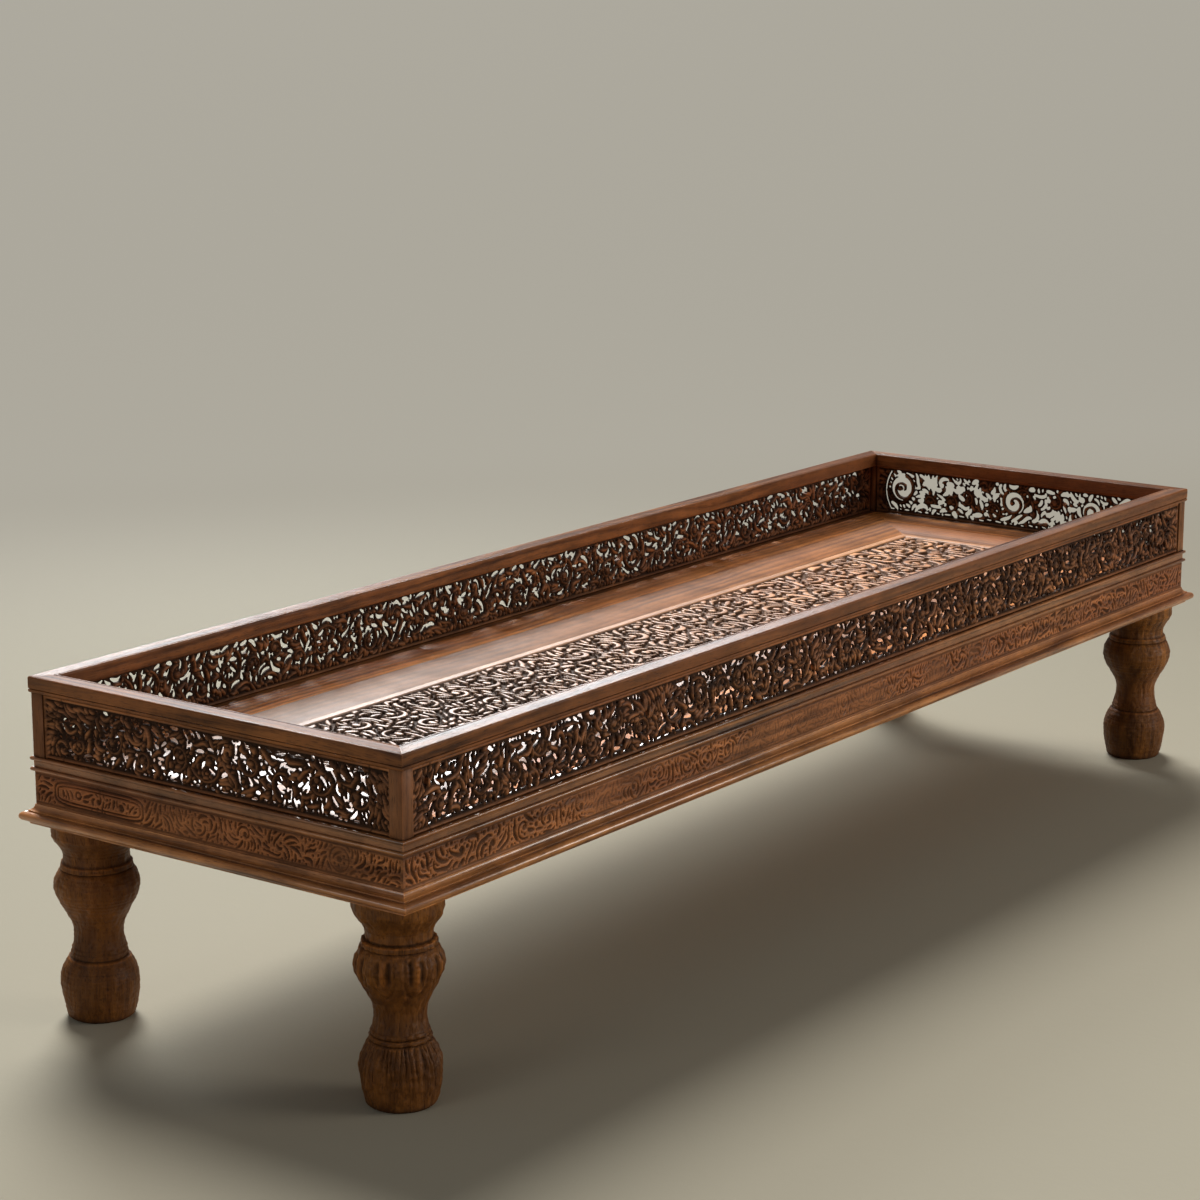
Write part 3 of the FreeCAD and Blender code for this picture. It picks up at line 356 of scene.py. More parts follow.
def leg_profile(bead):
    """Radius and height up the leg, from the foot's rounded edge to the shoulder; bead scales the rings."""
    neck = 38.0 + 2.0 * (1 - bead)
    runs = [(37.0, 0.0, 41.0, 4.0, "out", 5),
            (41.0, 4.0, 47.5, 48.0, "out", 30),
            (47.5, 48.0, 37.0 - 1.2 * bead, 76.5, "in", 22),
            (35.0 - 1.5 * bead, 76.8, 33.7 - 1.2 * bead, 83.0, 3.0 * bead, 9),
            (33.5 - 1.5 * bead, 83.3, 32.0 - 0.8 * bead, 89.2, 3.0 * bead, 9),
            (31.8, 89.5, 29.5, 108.0, "out", 11),
            (29.5, 108.0, 40.75, 137.5, "in", 17),
            (40.75, 137.5, 52.0, 167.0, "out", 24),
            (52.0, 167.0, 44.5 - bead, 187.0, "in", 18),
            (43.0, 187.6, 42.0, 195.2, 1.0 + 1.3 * bead, 9),
            (38.0 + 3.0 * (1 - bead), 195.6, neck, 203.0, "ease", 5),
            (neck, 203.0, 45.0, 217.5, "in", 12),
            (45.0, 217.5, 52.0, 232.0, "out", 12),
            (52.0, 232.0, 52.0, LEG_SHOULDER, "ease", 7)]
    return np.concatenate([profile_run(*run) for run in runs] + [[[52.0, LEG_SHOULDER]]])


def leg_relief(turn, height, carving, rng):
    """How far the carving cuts in, in mm, how dark its hollows are painted, old wax and painted shade, and
    its spines, which are painted lighter, wear and a painted highlight, at each angle and height: bumps of
    the angle times bumps of the height.
    The upper bulb has hanging petals, each a spine between two gouges inside a cut outline, under an uneven
    collar; the foot bulb has rough flutes that fade downwards; the cap has short gouged leaves. Nicks are
    smoothed random numbers."""
    fine = wave(FLUTES * turn + 2.2 * np.sin(5 * turn) + 1.2 * np.sin(0.09 * height + 11 * turn))
    broad = wave(11 * turn + 0.6 + 0.8 * np.sin(3 * turn))
    cut = 2.0 * band(height, *FINE_FLUTED) * fine ** 2 + 0.9 * band(height, *BROAD_FLUTED) * broad ** 4
    phase = np.abs((PETALS * turn / (2 * math.pi) + 0.104) % 1.0 - 0.5)
    tall = band(height, *PETALLED)
    outline = np.hypot(phase / 0.36, np.minimum(height - 158, 0) / 22.0)
    cut += 4.0 * hump(phase, 0.175, 0.092) * tall
    cut += 1.9 * hump(outline, 1.0, 0.15) * (1 - rise(height, *PETALLED[2:]))
    cut += 1.3 * wave(3 * PETALS * turn + 2 * np.sin(2 * turn)) ** 2 * hump(height, 189, 5.5)
    cut += 1.5 * wave(3 * turn + 1.0 + np.sin(5 * turn)) * hump(height, 192, 4.0)
    leaf = np.abs(np.sin(CAP_LEAVES * turn / 2 + 0.4))
    cut += 1.6 * band(height, *CAP_GOUGED) * (1 - leaf) ** 1.5
    nicks = rng.normal(size=turn.shape)
    for axis in (0, 1, 0, 1, 0, 1):
        nicks = (np.roll(nicks, 1, axis) + nicks + np.roll(nicks, -1, axis)) / 3
    uneven = (1.2 + 0.8 * carving) * nicks + 0.35 * np.sin(3 * turn + 0.07 * height)
    uneven += 0.25 * np.sin(7 * turn - 0.11 * height)
    uneven += (1 - carving) * 0.25 * np.sin(1.15 * height + 1.5 * np.sin(0.21 * height))
    spine = hump(phase, 0, 0.085) * tall
    return carving * cut + uneven * rise(height, 3, 10), carving * 0.75 * rise(cut, 0.8, 4.2), carving * spine


def make_leg(corner, toward_x, toward_y, finish):
    """Radius at each angle and row: the profile less the carving up to the shoulder, then a square of the
    post's size to the top; both ends close on the axis."""
    carving = LEG_CARVING[corner]
    rows = leg_profile(0.1 + 0.7 * carving)
    turn = np.linspace(0, 2 * math.pi, LEG_TURNS, endpoint=False)
    angle, height = np.meshgrid(turn, rows[:, 1])
    cut, hollow, spine = leg_relief(angle, height, carving, np.random.default_rng(sum(map(ord, corner))))
    groove = 0.5 * sum(hump(height, level, 0.7) for level in SCRIBED_RINGS)
    ringed = np.gradient(np.gradient(rows[:, 0]))[:, None]
    # The coves of the turning and the scribed rings are painted darker too, old wax and painted shade, and so
    # are the foot's lowest few millimetres.
    for other in (0.75 * rise(ringed, 0.15, 0.9), 0.7 * (1 - rise(height, 0.5, 9)), 0.6 * groove):
        hollow = np.maximum(hollow, other)
    # Darker towards the bottom, below about 125 mm.
    hollow = hollow + 0.24 * (1 - rise(height, 78, 125)) * (1 - hollow)
    radius = rows[:, :1] - cut - 0.5 * groove
    square = LEG_POST_HALF / np.maximum(np.abs(np.cos(turn)), np.abs(np.sin(turn)))
    post = [LEG_SHOULDER + 0.001, LEG_SHOULDER + 0.5, LEG_TOP - 0.5, LEG_TOP, LEG_TOP, LEG_TOP]
    radius = np.concatenate([np.outer((0.02, 0.5), radius[0]), radius,
                             np.outer((1.0, 1.0, 1.0, 0.98, 0.5, 0.02), square)])
    level = np.concatenate([0 * height[:2], height, np.outer(post, np.ones(LEG_TURNS))])
    hollow = np.pad(hollow, ((2, 6), (0, 0)), constant_values=((1, 0.3), (0, 0)))
    x, y = toward_x * (HALF_LONG - LEG_INSET), toward_y * (HALF_WIDE - LEG_INSET)
    points = np.stack([x + radius * np.cos(turn), y + radius * np.sin(turn), level], -1)
    grid = np.arange(radius.size).reshape(radius.shape)
    right = np.roll(grid, -1, 1)
    walls = np.stack([grid[:-1], right[:-1], right[1:], grid[1:]], -1).reshape(-1, 4)
    # Beads and petal spines are painted lighter, wear and a painted highlight.
    rub = rise(-np.gradient(np.gradient(radius, axis=0), axis=0), 0.1, 0.7) * 0.8
    rub[2:-6] = np.maximum(rub[2:-6], 0.7 * spine)
    carved_piece(f"turned_leg_{corner}", points.reshape(-1, 3) / 1000,
                 walls.tolist() + [grid[0, ::-1].tolist(), grid[-1].tolist()], 62, finish,
                 f"leg_{corner}", "leg_wood", hollow=hollow, rub=rub)


leg_finish = wood("leg_finish", "z", LEG_WOOD, wax=0.12, relief=1.0, ring_share=0.25)
for corner, (toward_x, toward_y) in CORNERS.items():
    make_leg(corner, toward_x, toward_y, leg_finish)

# The base rails are heavy mouldings, mitred at the corners and notched round the legs' posts. The middle
# rails carry a bead above and below a plain band. Both are the same wood, but the base rails' tones are
# lighter, painted light, and both are rubbed bright on the noses, wear and a painted highlight.

BASE_WOOD = (0.62, 0.255, 0.074), (0.140, 0.049, 0.014), (0.40, 0.132, 0.037)
MIDDLE_WOOD = (0.45, 0.182, 0.055), (0.085, 0.029, 0.009), (0.27, 0.087, 0.026)
ALONG = {"front": "x", "right": "y", "back": "x", "left": "y"}


def dress(name, finish, width=0.0007):
    """Gives a CAD node its finish, joins its loose triangles and rounds its arrises by a small width. At no
    width its shape and shading stay as they are."""
    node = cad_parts[name]
    node.data.materials.clear()
    node.data.materials.append(finish)
    if width:
        node.data.shade_smooth()
        node.modifiers.new("join", "WELD").merge_threshold = 1e-6
        bevel = node.modifiers.new("arris", "BEVEL")
        bevel.width, bevel.segments = width, 2
        bevel.limit_method, bevel.angle_limit = "ANGLE", math.radians(28)
        bevel.harden_normals = True


for side, along in ALONG.items():
    for rail, tones in (("base", BASE_WOOD), ("mid", MIDDLE_WOOD)):
        finish = wood(f"{rail}_finish_{along}", along, tones, wax=0.80, relief=0.4, ring_share=0.55,
                      gloss=0.38, wax_gloss=0.20, film=1.75, arris_radius=0.0025)
        dress(f"{rail}_rail_{side}", finish)

# The aprons are the frieze boards: scrolls and leaf veins gouged into the flat face between two scribed
# lines, worn almost smooth in places. They are mitred and pegged to the legs' posts from behind.

FRIEZE_WOOD = (0.375, 0.146, 0.051), (0.115, 0.040, 0.013), (0.24, 0.076, 0.027)
SIDE_TURN = {"front": 0, "right": 90, "back": 180, "left": 270}
SIDE_RUN, SIDE_REACH = {"x": 2 * HALF_LONG, "y": 2 * HALF_WIDE}, {"x": HALF_WIDE, "y": HALF_LONG}
APRON_BASE, APRON_HEIGHT, APRON_MIDDLE, APRON_FACE, APRON_BACK = 268.0, 41.0, 20.5, 3.0, 23.0
FRIEZE_CELL, FRIEZE_ROWS, FRIEZE_DEPTH, SCRIBED_INSET, SCRIBED_DEPTH = 1.2, 36, 2.4, 3.0, 0.9
BOLD_UNTIL, BOLD_FROM = 240, 1150
FIELD_STEP, FIELD_REACH = 0.6, 2.4
FREE_FAR, FREE_REACH, SWIRL_KNOT = 9.0, 10, 12


def from_side(side, along, inward, up):
    """Turns places along a side's run, inward from its outer face and up, into the row frame in metres."""
    turn = math.radians(SIDE_TURN[side])
    x, y = along, inward - SIDE_REACH[ALONG[side]]
    return np.stack([x * math.cos(turn) - y * math.sin(turn),
                     x * math.sin(turn) + y * math.cos(turn), up + 0 * x], -1) / 1000


def discs(u, v, width):
    """A stroke as a row of discs: three columns of place along, place up and half-width."""
    return np.stack(np.broadcast_arrays(*(np.asarray(part, float) for part in (u, v, width))), 1)


def dot(centre, half):
    return discs([centre[0]], [centre[1]], [half])


def arc(centre, reach, turn, width, squeeze=1.0):
    """Discs round a centre: the reach times the cosine and sine of the turn, squeezed upwards."""
    return discs(centre[0] + reach * np.cos(turn), centre[1] + reach / squeeze * np.sin(turn), width)


def resampled(line, step):
    """The same stroke with its discs a step apart, so that it has no gaps."""
    run = np.concatenate([[0], np.cumsum(np.hypot(*np.diff(line[:, :2], axis=0).T))])
    even = np.arange(0, run[-1] + step, step)
    return np.stack([np.interp(even, run, line[:, k]) for k in range(3)], 1)


def spiral(centre, radius, eye, start, turns, sense, width):
    """A volute: the radius falls to the eye's as the angle turns, and the stem thins with it."""
    t = np.linspace(0, 1, 220)
    reach = eye + (radius - eye) * (1 - t) ** 1.25
    return arc(centre, reach, start + sense * turns * 2 * math.pi * t, width * (1 - 0.45 * t))


def flower(centre, radius):
    """A round boss with a ring of six smaller ones, at a volute's eye."""
    petals = arc(centre, 1.15 * radius, np.arange(6) * math.pi / 3, 0.55 * radius)
    return np.concatenate([dot(centre, 0.75 * radius), petals])


def mark_taken(free, strokes):
    """Lowers the free distance round strokes to the smallest of distance less half-width."""
    parts = [part for line in strokes for part in np.array_split(line, max(1, len(line) // 24))]
    for u, v, w in (part.T for part in parts):
        i0, j0 = (max(int(place.min()) - FREE_REACH, 0) for place in (v, u))
        i1, j1 = (max(int(place.max()) + FREE_REACH + 1, 0) for place in (v, u))
        near = free[i0:i1, j0:j1]
        rows, cols = np.indices(near.shape, sparse=True)
        reach = np.hypot(cols[..., None] + j0 - u, rows[..., None] + i0 - v) - w
        np.minimum(near, reach.min(-1), out=near)


def open_strip(length, height, strokes, low_edge=0, side_edge=0):
    """The free distance over a strip, on cells of 1 mm: large, but none in its edges or within strokes."""
    free = np.zeros((int(height) + 1, int(length) + 1))
    free[low_edge:len(free) - low_edge, side_edge:free.shape[1] - side_edge] = FREE_FAR
    mark_taken(free, strokes)
    return free


def blended(grid, row, column, eased=False):
    """A grid's value between four of its cells, by bilinear blending, which may start and end level."""
    i, j = row.astype(int), column.astype(int)
    fi, fj = (rise(row - i, 0, 1), rise(column - j, 0, 1)) if eased else (row - i, column - j)
    return (grid[i, j] * (1 - fi) * (1 - fj) + grid[i + 1, j] * fi * (1 - fj)
            + grid[i, j + 1] * (1 - fi) * fj + grid[i + 1, j + 1] * fi * fj)


def curl_headings(shape, swirls, tilt, rng, jitter):
    """The way a leaf grows at each cell: round the nearest swirl, tilted outwards, with a slow wobble."""
    rows, cols = np.mgrid[0:shape[0], 0:shape[1]].astype(float)
    reach, heading = np.full(shape, 1e9), np.zeros(shape)
    for u, v, sense in swirls:
        far = np.hypot(cols - u, rows - v)
        way = np.arctan2(rows - v, cols - u) + sense * (math.pi / 2 - tilt)
        heading = np.where(far < reach, way, heading)
        reach = np.minimum(far, reach)
    knots = rng.normal(0, jitter, (shape[0] // SWIRL_KNOT + 3, shape[1] // SWIRL_KNOT + 3))
    return heading + blended(knots, rows / SWIRL_KNOT, cols / SWIRL_KNOT)


def grow_leaves(free, heading, rng, half_width, room, stop, longest, shortest=5, dots=1.0):
    """Fills a strip with curling leaves. From each seed with room round it a leaf walks both ways along the
    headings until something is near or it is long enough. A share of those too short turn into dots."""
    grown = []
    high, wide = free.shape
    cos_h, sin_h = np.cos(heading), np.sin(heading)
    rows, cols = np.mgrid[1:high - 1:2, 1:wide - 1:2]
    seeds = np.stack([rows.ravel(), cols.ravel()], 1)[rng.permutation(rows.size)]
    for i0, j0 in seeds.tolist():
        if free[i0, j0] < room:
            continue
        arm_length = longest * rng.uniform(0.45, 1.0) / 2
        arms = []
        for sense in (1, -1):
            u, v, i, j, arm = j0, i0, i0, j0, []
            while len(arm) < arm_length:
                u, v = u + sense * cos_h[i, j], v + sense * sin_h[i, j]
                i, j = int(v + 0.5), int(u + 0.5)
                if not (0 <= i < high and 0 <= j < wide) or free[i, j] < stop:
                    break
                arm.append((u, v))
            arms.append(arm)
        path = np.array(arms[1][::-1] + [(j0, i0)] + arms[0], float)
        if len(path) >= shortest:
            swell = 0.28 + 0.72 * np.sin(math.pi * np.linspace(0, 1, len(path)) ** 0.8) ** 0.75
            widest = min(half_width * rng.uniform(0.7, 1.15), 0.34 * len(path))
            grown.append(discs(path[:, 0], path[:, 1], widest * swell))
        elif rng.random() < dots:
            grown.append(dot((j0, i0), min(half_width, free[i0, j0] - 0.6)))
        else:
            continue
        mark_taken(free, grown[-1:])
    return grown


def stroke_fields(length, height, strokes):
    """Dome and gap over a strip, on a fine grid. Over all discs of half-width w the dome is the highest of
    sqrt(1 - (d/w)^2), lower for narrow discs, and the gap is the smallest of d - w."""
    u, v, w = np.concatenate([resampled(s, FIELD_STEP) if len(s) > 1 else s for s in strokes]).T
    wide, high = int(length / FIELD_STEP) + 2, int(height / FIELD_STEP) + 2
    dome, gap = np.zeros(wide * high), np.full(wide * high, 3.0)
    reach = int((w.max() + FIELD_REACH) / FIELD_STEP) + 1
    j0, i0 = np.rint(u / FIELD_STEP).astype(int), np.rint(v / FIELD_STEP).astype(int)
    for di in range(-reach, reach + 1):
        for dj in range(-reach, reach + 1):
            i, j = i0 + di, j0 + dj
            far = np.hypot(j * FIELD_STEP - u, i * FIELD_STEP - v)
            near = (far < w + FIELD_REACH) & (i >= 0) & (i < high) & (j >= 0) & (j < wide)
            cell = i[near] * wide + j[near]
            np.minimum.at(gap, cell, far[near] - w[near])
            inside = far[near] < w[near]
            top = np.sqrt(1 - (far[near][inside] / w[near][inside]) ** 2)
            np.maximum.at(dome, cell[inside], top * (0.45 + 0.55 * w[near][inside] / w.max()))
    return dome.reshape(high, wide), gap.reshape(high, wide)


def sampled(field, u, v):
    """A fine grid's value at each place of another grid."""
    i, j = (np.clip(place / FIELD_STEP, 0, size - 1.001) for place, size in zip((v, u), field.shape))
    return blended(field.T, j, i)


def patches(u, v, size, rng):
    """Slow random patches between 0 and 1 over a strip, from smoothed random knots."""
    knots = rng.random((int(v.max() / size) + 3, int(u.max() / size) + 3))
    return blended(knots, v / size, u / size, eased=True)


def four_corners(grid):
    """What a grid holds at the four corners of each cell, going round."""
    return grid[:-1, :-1], grid[:-1, 1:], grid[1:, 1:], grid[1:, :-1]


def slab(front, back):
    """A closed board between two grids: the front in full, the back by its border alone."""
    high, wide = front.shape[:2]
    grid = np.arange(high * wide).reshape(high, wide)
    quads = np.stack(four_corners(grid), -1).reshape(-1, 4)
    ring = np.concatenate([grid[0, :-1], grid[:-1, -1], grid[-1, :0:-1], grid[:0:-1, 0]])
    rear = np.arange(len(ring)) + grid.size
    walls = np.stack([np.roll(ring, -1), ring, rear, np.roll(rear, -1)], -1)
    points = np.concatenate([front.reshape(-1, 3), back.reshape(-1, 3)[ring]])
    corner = wide - 1 + high - 1
    low, far = rear[:wide].tolist(), rear[corner:corner + wide][::-1].tolist()
    middle = [list(quad) for quad in zip(low[1:-2], far[1:-2], far[2:-1], low[2:-1])]
    left_end = [low[1], low[0], *rear[:-high:-1].tolist(), far[1]]
    right_end = [low[-2], far[-2], *rear[wide - 1:corner + 1][::-1].tolist()]
    return points, quads.tolist() + walls.tolist() + middle + [left_end, right_end]


def frieze_strokes(side, length, rng):
    """The main gouged lines: a volute with a flower at its eye in some of the uneven bays, and on the short
    sides a cartouche and a roundel. The swirls turn the smaller cuts round the bays' middles."""
    strokes, swirls = [], []
    keep_from, keep_to = 12.0, length - 12.0
    if ALONG[side] == "y":
        t = np.linspace(0, 2 * math.pi, 260)
        bow_u, bow_v = (np.sign(part) * np.abs(part) ** 0.42 for part in (np.cos(t), np.sin(t)))
        for inset, width in ((0.0, 1.5), (4.6, 0.9)):
            strokes.append(discs(105 + (72 - inset) * bow_u, APRON_MIDDLE + (14.5 - inset) * bow_v, width))
        roundel = (length - 92, APRON_MIDDLE)
        strokes += [arc(roundel, 14, t, 1.0 + 0.4 * np.sin(3 * t)), flower(roundel, 2.4)]
        swirls += [(70, 20, 1), (105, 20, -1), (140, 20, 1), (length - 92, 20, 1)]
        keep_from, keep_to = 190.0, length - 120.0
    knots = keep_from + np.cumsum(rng.uniform(38, 66, 64))
    for start, end in zip(knots[:-1], knots[1:]):
        if end > keep_to:
            break
        up = rng.choice([-1, 1])
        middle = ((start + end) / 2 + rng.uniform(-3, 3), APRON_MIDDLE - up * rng.uniform(0, 4))
        swirls.append((*middle, up))
        if rng.random() < 0.45:
            radius, angle, turns = rng.uniform(8, 14.5), rng.uniform(0, 6.28), rng.uniform(0.4, 1.0)
            strokes.append(spiral(middle, radius, 3.0, angle, turns, up, 1.5))
            strokes.append(flower(middle, rng.uniform(1.6, 2.4)))
    return strokes, swirls


def make_apron(side):
    """The face is a grid along and up, cut in by rounded gouges along the strokes and by two scribed lines.
    Slow patches fade the cuts where they are worn. The front is cut bolder towards both ends."""
    along = ALONG[side]
    run = SIDE_RUN[along]
    length = run - 2 * APRON_FACE
    rng = np.random.default_rng(40 + SIDE_TURN[side])
    strokes, swirls = frieze_strokes(side, length, rng)
    free = open_strip(length, APRON_HEIGHT, strokes, 5, 4)
    heading = curl_headings(free.shape, swirls, 0.5, rng, 0.8)
    if side == "front":
        cols = np.arange(free.shape[1])
        ends = np.where((cols < BOLD_UNTIL) | (cols > BOLD_FROM), free, 0)
        bold = grow_leaves(ends, heading, rng, 2.7, 5.0, 3.2, 60, shortest=12)
        mark_taken(free, bold)
        strokes += bold
    strokes += grow_leaves(free, heading, rng, 1.9, 4.1, 2.6, 34, shortest=8)
    strokes += grow_leaves(free, heading, rng, 1.2, 2.7, 1.7, 13, shortest=4, dots=0.3)
    dome, gap = stroke_fields(length, APRON_HEIGHT, strokes)
    u, v = np.meshgrid(np.linspace(0, length, int(length / FRIEZE_CELL) + 1),
                       np.linspace(0, APRON_HEIGHT, FRIEZE_ROWS))
    from_right, from_top = length - u, APRON_HEIGHT - v
    inner = rise(v, 3.6, 5.2) * rise(from_top, 3.6, 5.2) * rise(u, 3.0, 5.5) * rise(from_right, 3.0, 5.5)
    least = 0.10 if along == "x" else 0.45
    wear = least + (1 - least) * rise(patches(u, v, 60.0, rng), 0.25, 0.70)
    if side == "front":
        wear = np.maximum(wear, np.maximum(1 - rise(u, 200, 420), rise(u, BOLD_FROM, 1350)))
    scribed = hump(v, SCRIBED_INSET, 0.85) + hump(v, APRON_HEIGHT - SCRIBED_INSET, 0.85)
    gouge = inner * rise(sampled(dome, u, v), 0.0, 0.70)
    lip = inner * hump(sampled(gap, u, v), 1.0, 0.9)
    cut = FRIEZE_DEPTH * wear * gouge + SCRIBED_DEPTH * scribed * rise(u, 1, 4) * rise(from_right, 1, 4)
    mitred = (u - length / 2) * (run / 2 - APRON_BACK) / (length / 2)
    points, faces = slab(from_side(side, u - length / 2, APRON_FACE + cut, APRON_BASE + v),
                         from_side(side, mitred, APRON_BACK + 0 * u, APRON_BASE + v))
    finish = wood(f"frieze_finish_{along}", along, FRIEZE_WOOD, 0.16, relief=0.45, ring_share=0.5, gloss=0.44)
    # The cuts and scribed lines are painted darker, old wax and painted shade; a lip round each cut is
    # painted lighter, wear and a painted highlight.
    carved_piece(f"carved_frieze_{side}", points, faces, 65, finish, f"apron_{side}", "frieze_wood",
                 hollow=np.maximum(gouge * (0.25 + 0.55 * wear), 0.8 * scribed),
                 rub=lip * (1 - gouge) * (0.2 + 0.5 * wear))


for side in ALONG:
    make_apron(side)

# The gallery is four thin boards, drilled and sawn through with small curling openings, then carved on both
# faces. Their tongues sit in grooves of the rails and of four small square corner posts with two tenons each.

GALLERY_WOOD = (0.33, 0.134, 0.049), (0.105, 0.039, 0.014), (0.205, 0.069, 0.026)
GALLERY_MIDDLE, GALLERY_HALF, GALLERY_THIN, GALLERY_TONGUE, GALLERY_TUCK = 8.5, 4.0, 1.2, 1.9, 3.4
GALLERY_BASE, GALLERY_HEIGHT, GALLERY_SHORTER, GALLERY_CELL, GALLERY_BAY = 327.0, 78.0, 41.0, 1.35, 52.0
GALLERY_END = {"front": 26.0, "back": 30.0, "left": 24.0, "right": 18.0}
OPENINGS = {  # half-width, nearest line, longest, share left closed, lowest row
    "front": (2.7, 1.9, 34, 0.24, 5), "back": (2.8, 1.8, 64, 0.10, 13),
    "left": (2.5, 1.8, 28, 0.18, 5), "right": (3.7, 2.0, 44, 0.12, 5)}


def end_bow(up):
    """How far the carved field's ends swell out at each height: a parabola."""
    return 13 * (1 - np.clip((up - 38) / 36, -1, 1) ** 2) - 6


def gallery_swirls(side, length, rng):
    """The main lines of the carving: a volute with a flower at its eye in each of many uneven bays, swirls
    between them that turn the leaves, and plain borders top and bottom."""
    end = GALLERY_END[side]
    border = np.arange(0, length + 1, 0.8)
    strokes, swirls = [discs(border, 1.6, 2.0), discs(border, GALLERY_HEIGHT - 2.6, 2.6)], []
    count = int(round((length - 2 * end) / GALLERY_BAY))
    knots = np.concatenate([[0], np.cumsum(rng.uniform(0.65, 1.35, count))])
    knots = end + knots / knots[-1] * (length - 2 * end)
    for start, finish in zip(knots[:-1], knots[1:]):
        turn = 1 if rng.random() < 0.5 else -1
        middle = ((start + finish) / 2 + rng.uniform(-5, 5), 38.0 + rng.uniform(-15, 15))
        room = min(middle[1] - 8, 68 - middle[1], 27 * ((finish - start) / GALLERY_BAY))
        reach = max(room, 11) * rng.uniform(0.7, 1.0)
        strokes.append(spiral(middle, reach, 3.4, rng.uniform(0, 6.28), rng.uniform(0.6, 1.2), turn, 1.8))
        strokes.append(flower(middle, rng.uniform(1.8, 3.2)))
        swirls.append((*middle, turn))
        for _ in range(2):
            aside, sense = rng.uniform(-32, 32), rng.choice([-1, 1])
            swirls.append((middle[0] + aside, 39 + sense * rng.uniform(14, 36), rng.choice([-1, 1])))
    return strokes, swirls


def gallery_openings(side, length, strokes, swirls, rng):
    """Strokes cut right through: a row along the foot, then short curling ones off the main lines. They keep
    clear of each other, so no wood comes loose, and of patches that stay closed. The far short side has a
    bowed slot and three round openings, each with a wooden volute left standing in it."""
    (half, stop, longest, shut, foot), end = OPENINGS[side], GALLERY_END[side]
    free = open_strip(length, GALLERY_HEIGHT, strokes)
    rows, cols = np.mgrid[0:free.shape[0], 0:free.shape[1]].astype(float)
    plain = end - end_bow(rows) + 3
    free[(cols < plain) | (cols > length - plain) | (rows < foot) | (rows > GALLERY_HEIGHT - 8)] = 0
    first, standing, u = [], [], end + 4.0
    while side != "back" and u < length - end - 10:
        run, lift = rng.uniform(3, 13), rng.uniform(0, 2.5)
        t = np.linspace(0, 1, 12)
        width = rng.uniform(1.0, 1.7) * np.sin(math.pi * (0.15 + 0.7 * t))
        first.append(discs(u + run * t, 6.0 + lift + rng.uniform(-0.8, 2.0) * t, width))
        u += run + rng.choice([5, 8, 14, 26])
    if side == "right":
        t = np.linspace(-0.86, 0.86, 90)
        first.append(discs(length - end + 13 * (1 - t ** 2) - 11.5, 38 + 36 * t, 1.5))
        turn = np.linspace(0, 2 * math.pi, 60)
        holes = ((length - 47, 42.0, 20.0, 1.9, 1), (0.52 * length, 41.0, 18.0, 0.9, -1),
                 (0.26 * length, 42.0, 16.0, 2.6, 1))
        for x, y, radius, start, sense in holes:
            first += [arc((x, y), share * radius, turn, 0.36 * radius) for share in (0.30, 0.64)]
            standing += [spiral((x, y), 1.2 * radius, 0.26 * radius, start, 1.25, sense, 2.7),
                         dot((x + 0.2 * radius, y), 0.2 * radius)]
    closed = patches(cols, rows, 22.0, rng)
    if side == "left":
        closed = closed - 0.07 * (1 - rise(cols, 0.50 * length, 0.75 * length)) * rise(rows, 10, 24)
    free[closed < shut] = 0
    mark_taken(free, first)
    heading = curl_headings(free.shape, swirls, 0.9, rng, 0.7)
    first += grow_leaves(free, heading, rng, half, half + 0.6, stop, longest, shortest=13, dots=0)
    first += grow_leaves(free, heading, rng, 0.9 * half, 2.8, stop, 13, shortest=5, dots=0.12)
    return first, standing


def neighbours(cells):
    """What lies below, above, left and right of each cell, with nothing past the border."""
    near = np.pad(cells, 1)
    return near[:-2, 1:-1], near[2:, 1:-1], near[1:-1, :-2], near[1:-1, 2:]


def keep_joined(cells):
    """Fills cells that would touch only at a corner, then drops wood that is not joined to the border."""
    for _ in range(6):
        a, b, c, d = four_corners(cells)
        falling, rising = a & c & ~b & ~d, b & d & ~a & ~c
        b |= falling
        a |= rising
    joined = np.zeros_like(cells)
    joined[0], joined[-1], joined[:, 0], joined[:, -1] = True, True, True, True
    while True:
        spread = cells & np.logical_or.reduce([joined, *neighbours(joined)])
        if (spread == joined).all():
            return joined
        joined = spread


def pierced_faces(solid):
    """Quads of the front, the back and every wall of a pierced board; back points follow the front ones."""
    high, wide = solid.shape[0] + 1, solid.shape[1] + 1
    front = np.arange(high * wide).reshape(high, wide)
    (a, b, c, d), (e, f, g, h) = map(four_corners, (front, front + high * wide))
    below, above, left, right = (solid & ~near for near in neighbours(solid))
    groups = ((solid, (a, b, c, d)), (solid, (e, h, g, f)), (below, (b, a, e, f)),
              (above, (d, c, g, h)), (left, (a, d, h, e)), (right, (c, b, f, g)))
    return np.concatenate([np.stack([corner[mask] for corner in corners], -1) for mask, corners in groups])


